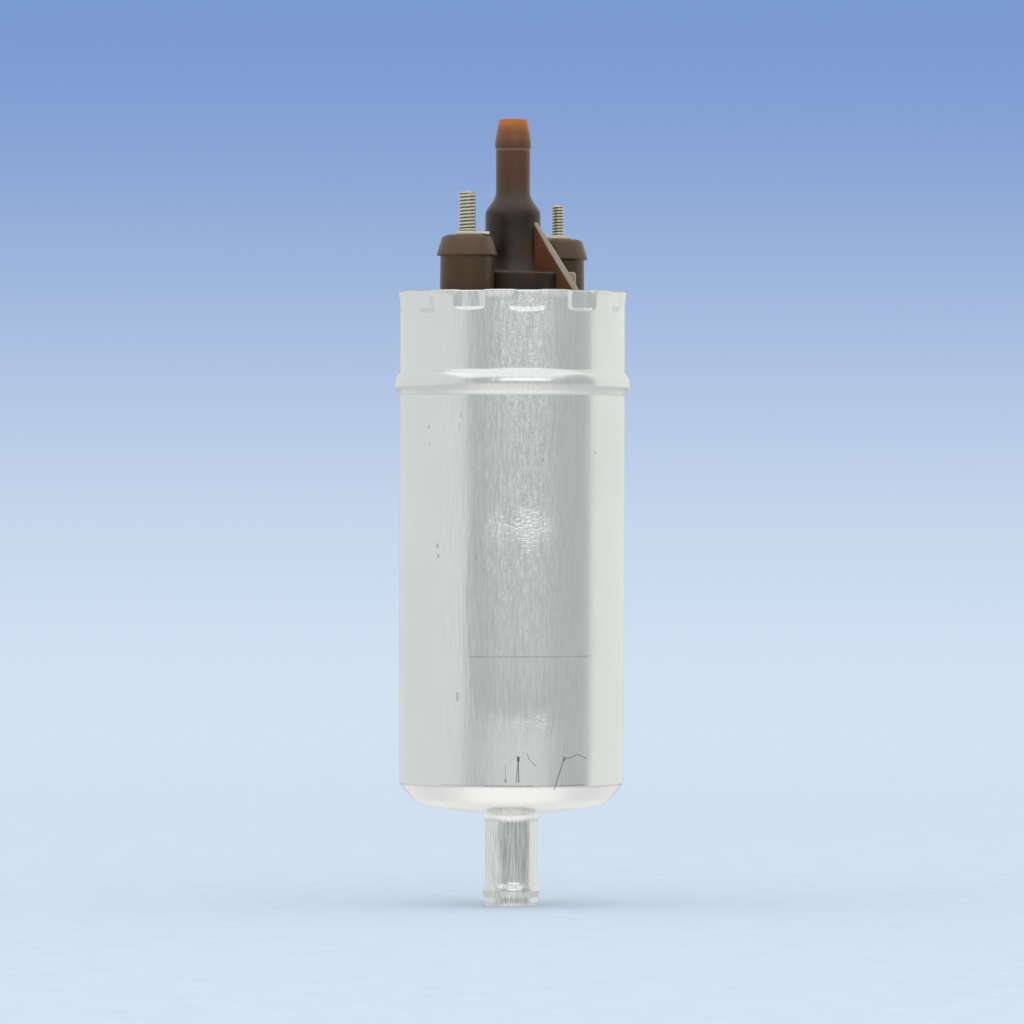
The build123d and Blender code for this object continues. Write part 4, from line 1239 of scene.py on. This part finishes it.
@dataclass
class TerminalPod:
    """A round pod with an overhanging cap that carries a stud."""

    name: str
    centre: Point2
    hole: float
    foot: float = 137.9
    cap_start: float = 149.5
    top: float = POD_TOP
    finish: BrownPlastic = BrownPlastic(
        "pod_plastic",
        (
            (138.0, (0.054, 0.029, 0.010)), (149.0, (0.060, 0.034, 0.014)), (150.2, (0.088, 0.057, 0.033)),
            (POD_TOP, (0.112, 0.071, 0.042)),
        ),
    )
    radius: float = 6.15
    cap_radius: float = 7.1
    rim: float = 153.9
    rim_radius: float = 5.75
    crown_radius: float = 4.4

    def build(self, wardrobe: Wardrobe) -> bpy.types.Object:
        """Turn the pod about the stud's axis and dress it.

        Args:
            wardrobe: What dresses it.

        Returns:
            The piece.
        """
        section = (
            (self.hole, self.foot, 0.0), (self.radius + 0.1, self.foot, 0.0),
            (self.radius, self.cap_start, 0.3), (self.cap_radius, self.cap_start - 0.05, 0.4),
            (self.rim_radius, self.rim, 0.9), (self.crown_radius, self.top, 1.5), (self.hole, self.top, 0.1),
        )
        piece = turned_piece(self.name, section, 1.5, arc_steps=7, centre=self.centre)
        return wardrobe.dress(piece, Slot.BROWN_PLASTIC, ["end_cover"], self.finish)


@dataclass
class Gusset:
    """The sloping fin from the dome down to the cover's edge."""

    azimuth: float = -31.0
    outline: tuple[Corner, ...] = (
        (5.6, 138.0, 0.0), (16.9, 138.0, 0.0), (17.0, 142.1, 0.9), (6.75, 156.7, 1.2),
        (6.2, 158.0, 0.6), (5.6, 158.0, 0.0),
    )
    finish: BrownPlastic = BrownPlastic(
        "gusset_plastic", ((138.0, (0.13, 0.043, 0.016)), (158.0, (0.10, 0.042, 0.019))),
        # (0.26, 0.22, 0.165) is the painted highlight on the fin's outward edge
        (0.18, 0.046, 0.014), (0.26, 0.22, 0.165),
    )
    thin: float = 1.9
    thick: float = 3.0
    thin_at: float = 157.0
    thick_at: float = 150.0
    edge_round: float = 0.38
    # Where the painted highlight on the outward edge begins and how fast it comes in
    pale_from: float = 0.45
    pale_fade: float = 0.2

    def half(self, height: np.ndarray) -> np.ndarray:
        """Half the fin's thickness at a height.

        It is half of thick + (thin - thick) * smooth step of (z - thick at) / (thin at - thick at).
        """
        way = smooth_step((height - self.thick_at) / (self.thin_at - self.thick_at))
        return (self.thick + (self.thin - self.thick) * way) / 2.0

    def build(self, wardrobe: Wardrobe) -> bpy.types.Object:
        """Make the fin as a plate at its azimuth, mark its outer edge for a painted highlight and dress it.

        The edge attribute is the smooth step of (normal . outward - pale from) / pale fade.

        Args:
            wardrobe: What dresses it.

        Returns:
            The piece.
        """
        outline = divided(turned_corners(self.outline), 1.2)
        grid = stood_up(slab(outline, self.half, self.edge_round), self.azimuth)
        piece = piece_from_grid("cover_gusset", grid, closed_rows=False)
        angle = math.radians(self.azimuth)
        outward = np.array([math.cos(angle), math.sin(angle), 0.0])
        facing = vectors(piece.data.vertex_normals, "vector") @ outward
        # The edge attribute paints a highlight on the edge that faces outward
        store(piece, "edge", smooth_step((facing - self.pale_from) / self.pale_fade))
        return wardrobe.dress(piece, Slot.BROWN_PLASTIC, ["end_cover"], self.finish)


@dataclass
class EdgeLug:
    """The small upright lug on the disc's right edge."""

    inner: float = 11.3
    outer: float = 14.6
    foot: float = 138.0
    top: float = 146.2
    depth: float = 4.0
    place: float = -1.0
    corner: float = 0.7
    edge_round: float = 0.35
    # The pale beige all over the lug is painted light, standing in for its lit faces
    finish: BrownPlastic = BrownPlastic(
        "lug_plastic", ((138.0, (0.34, 0.29, 0.22)), (146.0, (0.44, 0.39, 0.31))), (0.34, 0.26, 0.18)
    )

    def build(self, wardrobe: Wardrobe) -> bpy.types.Object:
        """Make the lug as a thick plate across the view and dress it.

        Args:
            wardrobe: What dresses it.

        Returns:
            The piece.
        """
        corners = (
            (self.inner, self.foot, 0.0), (self.outer, self.foot, 0.0), (self.outer, self.top, self.corner),
            (self.inner, self.top, 0.3),
        )
        outline = divided(turned_corners(corners), 0.9)
        plate = slab(outline, lambda height: np.full_like(height, self.depth / 2.0), self.edge_round)
        grid = stood_up(plate) + np.array([0.0, self.place, 0.0])
        piece = piece_from_grid("cover_lug", grid, closed_rows=False)
        return wardrobe.dress(piece, Slot.BROWN_PLASTIC, ["end_cover"], self.finish)


@dataclass
class ThreadedStud:
    """A terminal stud with a rolled thread, a collar at its base and a foot inside the cover."""

    name: str
    node: str
    centre: Point2
    radius: float
    pitch: float
    top: float
    collar_top: float
    collar_radius: float
    foot: float = 132.75
    foot_radius: float = 3.6
    foot_height: float = 1.4
    foot_bevel: float = 0.2
    neck_bevel: float = 0.1
    collar_low: float = 150.0
    collar_bevel: Point2 = (0.12, 0.15)
    bevel: float = 0.5
    thread_share: float = 0.30
    thread_start: float = 0.25
    root_share: float = 0.05
    flank_share: float = 0.6
    rows_per_pitch: float = 12.0
    columns: int = 64

    def profile(self, thread_up: np.ndarray) -> np.ndarray:
        """The stud's section from the foot's middle to the top's, with the thread at full radius.

        Args:
            thread_up: Heights of the thread's rows.

        Returns:
            Rows of radius and height.
        """
        foot_top = self.foot + self.foot_height
        collar, bevel = self.collar_radius, self.foot_bevel
        root = self.radius - self.thread_share * self.pitch
        low = (
            (0.0, self.foot), (self.foot_radius - bevel, self.foot), (self.foot_radius, self.foot + bevel),
            (self.foot_radius, foot_top - bevel), (self.foot_radius - bevel, foot_top),
            (collar + self.neck_bevel, foot_top), (collar, foot_top + self.neck_bevel),
            (collar, self.collar_low), (collar, self.collar_top - self.collar_bevel[1]),
            (collar - self.collar_bevel[0], self.collar_top), (root + 0.05, self.collar_top + 0.1),
        )
        cap = ((self.radius - self.bevel - 0.25, self.top), (self.radius * 0.4, self.top), (0.0, self.top))
        return np.concatenate([low, rows_of(self.radius, thread_up), cap])

    def build(self, wardrobe: Wardrobe) -> bpy.types.Object:
        """Make the stud as one surface of angle and height, and dress it.

        In the thread the radius is root + depth * smooth step of (w - root share) / flank share,
        where w = |2 f - 1| and f is the fractional part of z / pitch - angle / full turn. It
        fades in above the collar over one pitch, and the bevel cone holds it back at the top.

        Args:
            wardrobe: What dresses it.

        Returns:
            The piece.
        """
        depth = self.thread_share * self.pitch
        step = self.pitch / self.rows_per_pitch
        thread_up = np.arange(self.collar_top + self.thread_start, self.top - 0.02, step)
        grid = turned(self.profile(thread_up), self.columns)
        cap_rows = 3
        rows = slice(-cap_rows - len(thread_up), -cap_rows)
        height = grid[rows, :, 2]
        phase = np.mod(height / self.pitch - round_angles(self.columns) / FULL_TURN, 1.0)
        crest = smooth_step((np.abs(2.0 * phase - 1.0) - self.root_share) / self.flank_share)
        cut = depth * (1.0 - crest) * smooth_step((height - self.collar_top) / self.pitch)
        bevelled = np.maximum(self.radius - np.maximum(height - (self.top - self.bevel), 0.0), 0.2)
        radius = np.minimum(self.radius - cut, bevelled)
        grid[rows, :, :2] *= (radius / self.radius)[..., None]
        grid[..., :2] += np.array(self.centre)
        piece = piece_from_grid(self.name, grid, closed_rows=False, smooth=50.0)
        self.mark_depth(piece)
        return wardrobe.dress(piece, Slot.PLATED_STEEL, [self.node])

    def mark_depth(self, piece: bpy.types.Object) -> None:
        """Store how deep each point lies below the thread's crest, as a share of its depth, for the painted
        root shade.

        Args:
            piece: The stud's piece.
        """
        x, y, z = (vectors(piece.data.vertices, "co") / MM).T
        radius = np.hypot(x - self.centre[0], y - self.centre[1])
        inside = (z > self.collar_top) & (z < self.top - self.bevel)
        share = np.clip((self.radius - radius) / (self.thread_share * self.pitch), 0.0, 1.0)
        store(piece, "depth", np.where(inside, share, 0.0))


@dataclass
class ContactPlate:
    """A thin plate round a stud, with a square end towards the right."""

    name: str
    node: str
    centre: Point2
    hole: float
    reach: float
    behind: float = 2.4
    half_width: float = 3.0
    low: float = 154.32
    thickness: float = 0.65
    edge: float = 0.12
    first_angle: float = 1e-4
    columns: int = 120

    def build(self, wardrobe: Wardrobe) -> bpy.types.Object:
        """Make the plate as a ring from its hole to its rectangular edge, and dress it.

        At angle a the edge lies at the smallest of the distances to its four sides along that
        direction, (reach or behind) / |cos a| and half width / |sin a|. The first angle isn't 0,
        which keeps the division possible.

        Args:
            wardrobe: What dresses it.

        Returns:
            The piece.
        """
        angle = round_angles(self.columns) + self.first_angle
        side = np.where(np.cos(angle) > 0.0, self.reach, self.behind)
        rim = np.minimum(side / np.abs(np.cos(angle)), self.half_width / np.abs(np.sin(angle)))
        low, high, edge = self.low, self.low + self.thickness, self.edge
        rings = (
            (self.hole, low), (self.hole, high - edge), (self.hole + edge, high), (rim - 3 * edge, high),
            (rim - edge, high), (rim, high - edge), (rim, low + edge), (rim - edge, low),
            (rim - 3 * edge, low),
        )
        grid = np.stack([polar(radius, angle, height, self.centre) for radius, height in rings])
        piece = piece_from_grid(self.name, grid, closed_rows=True, smooth=35.0)
        return wardrobe.dress(piece, Slot.PLATED_STEEL, [self.node])


@dataclass
class CoilSpring:
    """A round-wire spring with closed end coils."""

    name: str
    node: str
    joint: str
    centre: Point2
    coil: float
    foot: float
    head: float
    turns: float
    travel: float
    wire: float = 0.3
    closed: float = 0.75
    steps_per_turn: int = 40
    columns: int = 12

    def grid(self) -> np.ndarray:
        """The wire's circles along the helix, closed by a point at each end.

        At turn t the wire's middle stands at angle 2 pi t on the coil, at a height that rises by
        the wire's thickness a turn over the closed turns at both ends and evenly between them.
        Its circle is spanned by the outward direction and the tangent's product with it.

        Returns:
            Grid of points in millimetres, circles by points round the wire by three.
        """
        turn = np.linspace(0.0, self.turns, round(self.turns * self.steps_per_turn) + 1)
        low, rise = min(self.foot, self.head), abs(self.head - self.foot) - 2.0 * self.wire
        end = 2.0 * self.wire * self.closed
        height = low + self.wire + np.interp(
            turn, (0.0, self.closed, self.turns - self.closed, self.turns), (0.0, end, rise - end, rise)
        )
        outward = polar(1.0, FULL_TURN * turn, 0.0)
        middle = polar(self.coil, FULL_TURN * turn, height, self.centre)
        across = np.cross(np.gradient(middle, axis=0), outward)
        across = across / np.linalg.norm(across, axis=1)[:, None]
        round_wire = round_angles(self.columns)[None, :, None]
        circle = outward[:, None] * np.cos(round_wire) + across[:, None] * np.sin(round_wire)
        radius = np.pad(np.full(len(turn), self.wire), 1)[:, None, None]
        index = np.pad(np.arange(len(turn)), 1, mode="edge")
        return middle[index][:, None] + radius * circle[index]

    def build(self, wardrobe: Wardrobe) -> bpy.types.Object:
        """Sweep the wire, dress it and give the piece a mesh of its own.

        Args:
            wardrobe: What dresses it.

        Returns:
            The piece.
        """
        piece = piece_from_grid(self.name, self.grid(), closed_rows=False)
        wardrobe.dress(piece, Slot.SPRING_STEEL, [self.node])
        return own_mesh(piece)


# Studio


@dataclass(frozen=True)
class SoftPanel:
    """A large soft light: where it hangs, what it faces, its size in metres and its brightness."""

    name: str
    place: Point3
    target: Point3
    size: Point2
    brightness: float
    colour: Colour = (1.0, 1.0, 1.0)

    def hang(self) -> None:
        """Add the light. A panel of area A and brightness L has the power pi A L."""
        data = bpy.data.lights.new(self.name, "AREA")
        data.shape = "RECTANGLE"
        data.size, data.size_y = self.size
        data.energy = math.pi * self.size[0] * self.size[1] * self.brightness
        data.color = self.colour
        lamp = bpy.data.objects.new(self.name, data)
        lamp.location = self.place
        x, y, z = (a - b for a, b in zip(self.place, self.target))
        lamp.rotation_euler = (math.atan2(math.hypot(x, y), z), 0.0, math.atan2(x, -y))
        lamp.visible_camera = False
        bpy.context.scene.collection.objects.link(lamp)


@dataclass
class Studio:
    """Pale floor, plain soft light and the camera at the photograph's place.

    The camera's and the lights' lengths are metres, the sensor, the rings and the floor's height
    millimetres, and a fade is the pair of distances in metres over which the floor goes away.
    """

    camera_height: float = 0.0908
    camera_distance: float = 1.7
    view_width: float = 0.2366
    sensor: float = 36.0
    roll: float = -0.17
    floor_rings: tuple[float, ...] = (0.0, 40.0, 120.0, 300.0, 800.0, 2000.0, 6000.0)
    floor_height: float = -0.05
    floor_fade: Point2 = (0.25, 1.2)
    floor_colour: Colour = (0.63, 0.74, 0.87)
    floor_grain: Colour = (0.61, 0.72, 0.855)
    bounce_colour: Colour = (0.90, 0.90, 0.89)
    backdrop_low: Colour = (0.65, 0.76, 0.89)
    backdrop_high: Colour = (0.20, 0.33, 0.64)
    front: Colour = (0.50, 0.525, 0.52)
    floor_front: Colour = (0.98, 0.975, 0.965)
    floor_back: Colour = (0.80, 0.80, 0.795)
    low_middle: Colour = (0.83, 0.835, 0.83)
    low_sides: Colour = (0.66, 0.67, 0.67)
    room: Colour = (1.0, 1.0, 1.0)
    room_strength: float = 0.75
    panels: tuple[SoftPanel, ...] = (
        SoftPanel("left_panel", (-2.0, 3.1, 1.1), (0.0, 3.1, 1.1), (10.0, 3.0), 0.26, (0.98, 1.0, 0.99)),
        SoftPanel("right_panel", (2.0, 4.4, 1.1), (0.0, 4.4, 1.1), (9.0, 3.0), 0.36, (1.0, 0.97, 0.90)),
        SoftPanel("top_panel", (0.0, -0.9, 2.2), (0.0, 0.0, 0.09), (4.8, 3.2), 0.48),
        SoftPanel("front_panel", (0.5, -2.35, 0.8), (0.0, 0.0, 0.1), (2.4, 0.7), 1.0),
    )

    def place_camera(self) -> None:
        """Level camera on -Y whose frame spans the measured width at the pump's axis."""
        data = bpy.data.cameras.new("photo_camera")
        data.sensor_width = self.sensor
        data.lens = self.sensor * self.camera_distance / self.view_width
        camera = bpy.data.objects.new("photo_camera", data)
        camera.location = (0.0, -self.camera_distance, self.camera_height)
        camera.rotation_euler = (math.radians(90.0), math.radians(self.roll), 0.0)
        bpy.context.scene.collection.objects.link(camera)
        bpy.context.scene.camera = camera

    def lay_floor(self) -> None:
        """A wide round floor that fades into the background away from the pump."""
        grid = polar(np.array(self.floor_rings)[:, None], round_angles(64), self.floor_height)
        floor = piece_from_grid("floor", grid, closed_rows=False)
        if floor.data.polygons[0].normal.z < 0.0:
            floor.data.flip_normals()
        sheet = NodeSheet.of_material("pale_floor")
        grain = sheet.noise(90.0, Grain.EVEN, 2.0)
        colour = sheet.blend(sheet.graded(grain), self.floor_colour, self.floor_grain)
        path = sheet.add("ShaderNodeLightPath").outputs
        colour = sheet.blend(path["Is Camera Ray"], self.bounce_colour, colour)
        floor.data.materials.append(
            sheet.surface(Base_Color=colour, Roughness=0.9, Specular_IOR_Level=0.1)
        )
        length = sheet.add("ShaderNodeVectorMath", sheet.place, operation="LENGTH").outputs["Value"]
        gone = sheet.reckon("MAXIMUM", sheet.between(length, *self.floor_fade), path["Is Glossy Ray"])
        clear = sheet.add("ShaderNodeBsdfTransparent")
        sheet.show(gone, sheet.shader.outputs[0], clear.outputs[0])

    def light_room(self) -> None:
        """A plain soft room, with a pale blue backdrop behind the pump and grey in front of it."""
        world = bpy.data.worlds.new("soft_room")
        bpy.context.scene.world = world
        sheet = NodeSheet(world, "Generated")
        x, y, z = sheet.axes(1.0)
        backdrop = sheet.blend(sheet.between(z, -0.03, 0.07), self.backdrop_low, self.backdrop_high)
        low = sheet.blend(sheet.between(sheet.away(x), 0.3, 0.85), self.low_middle, self.low_sides)
        below = sheet.blend(sheet.between(y, -0.2, 0.5), self.floor_front, self.floor_back)
        below = sheet.blend(sheet.between(z, -0.97, -0.72, 1.0, 0.0), low, below)
        around = sheet.blend(sheet.between(z, -0.32, -0.12, 1.0, 0.0), self.front, below)
        around = sheet.blend(sheet.between(y, 0.97, 0.994), around, backdrop)
        shown = sheet.add("ShaderNodeBackground", around)
        lit = sheet.add("ShaderNodeBackground", (*self.room, 1.0), self.room_strength)
        path = sheet.add("ShaderNodeLightPath").outputs
        seen = sheet.reckon("MAXIMUM", path["Is Glossy Ray"], path["Is Transmission Ray"])
        seen = sheet.reckon("MAXIMUM", path["Is Camera Ray"], seen)
        sheet.show(seen, lit.outputs[0], shown.outputs[0])

    def build(self) -> None:
        """Set the stage, the light, the camera and the plain view transform."""
        self.place_camera()
        self.lay_floor()
        self.light_room()
        for panel in self.panels:
            panel.hang()
        bpy.context.scene.view_settings.view_transform = "Standard"


def main() -> None:
    """Build the studio and every sub-assembly in order, and report each piece."""
    logging.basicConfig(level=logging.INFO, format="%(name)s %(message)s")
    Studio().build()
    wardrobe = Wardrobe()
    LOG.info("dressed %d CAD nodes", wardrobe.dress_nodes())
    assemblies = [
        DrawnCan(),
        Outlet(),
        CoverPlate(),
        TerminalPod("pod_front", POD_FRONT, HOLE_FRONT),
        TerminalPod("pod_rear", POD_REAR, HOLE_REAR),
        Gusset(),
        EdgeLug(),
        ThreadedStud("stud_front", "positive_stud", POD_FRONT, 2.0, 0.79, 164.3, 155.15, 2.2),
        ThreadedStud("stud_rear", "negative_stud", POD_REAR, 1.5, 0.69, 162.3, 155.3, 1.7),
        ContactPlate("contact_front", "positive_plate", POD_FRONT, HOLE_FRONT, 5.1),
        ContactPlate("contact_rear", "negative_plate", POD_REAR, HOLE_REAR, 3.0),
        CoilSpring(
            "check_coil", "check_spring", "check_valve_lift", (0.0, 0.0), 2.9, 158.4, 150.25, 5.5, 1.8
        ),
        CoilSpring(
            "relief_coil", "relief_spring", "relief_valve_lift", (18.85, 0.0), 1.5, 32.5, 35.45, 3.5, 1.2
        ),
        CoilSpring(
            "brush_coil_front", "positive_brush_spring", "positive_brush_slide", BRUSH_FRONT,
            2.3, 134.2, 125.25, 6.0, 1.5,
        ),
        CoilSpring(
            "brush_coil_rear", "negative_brush_spring", "negative_brush_slide", BRUSH_REAR,
            2.3, 134.2, 125.25, 6.0, 1.5,
        ),
    ]
    for assembly in assemblies:
        piece = assembly.build(wardrobe)
        LOG.info("%s: %d faces", piece.name, len(piece.data.polygons))


if __name__ == "__main__":
    main()
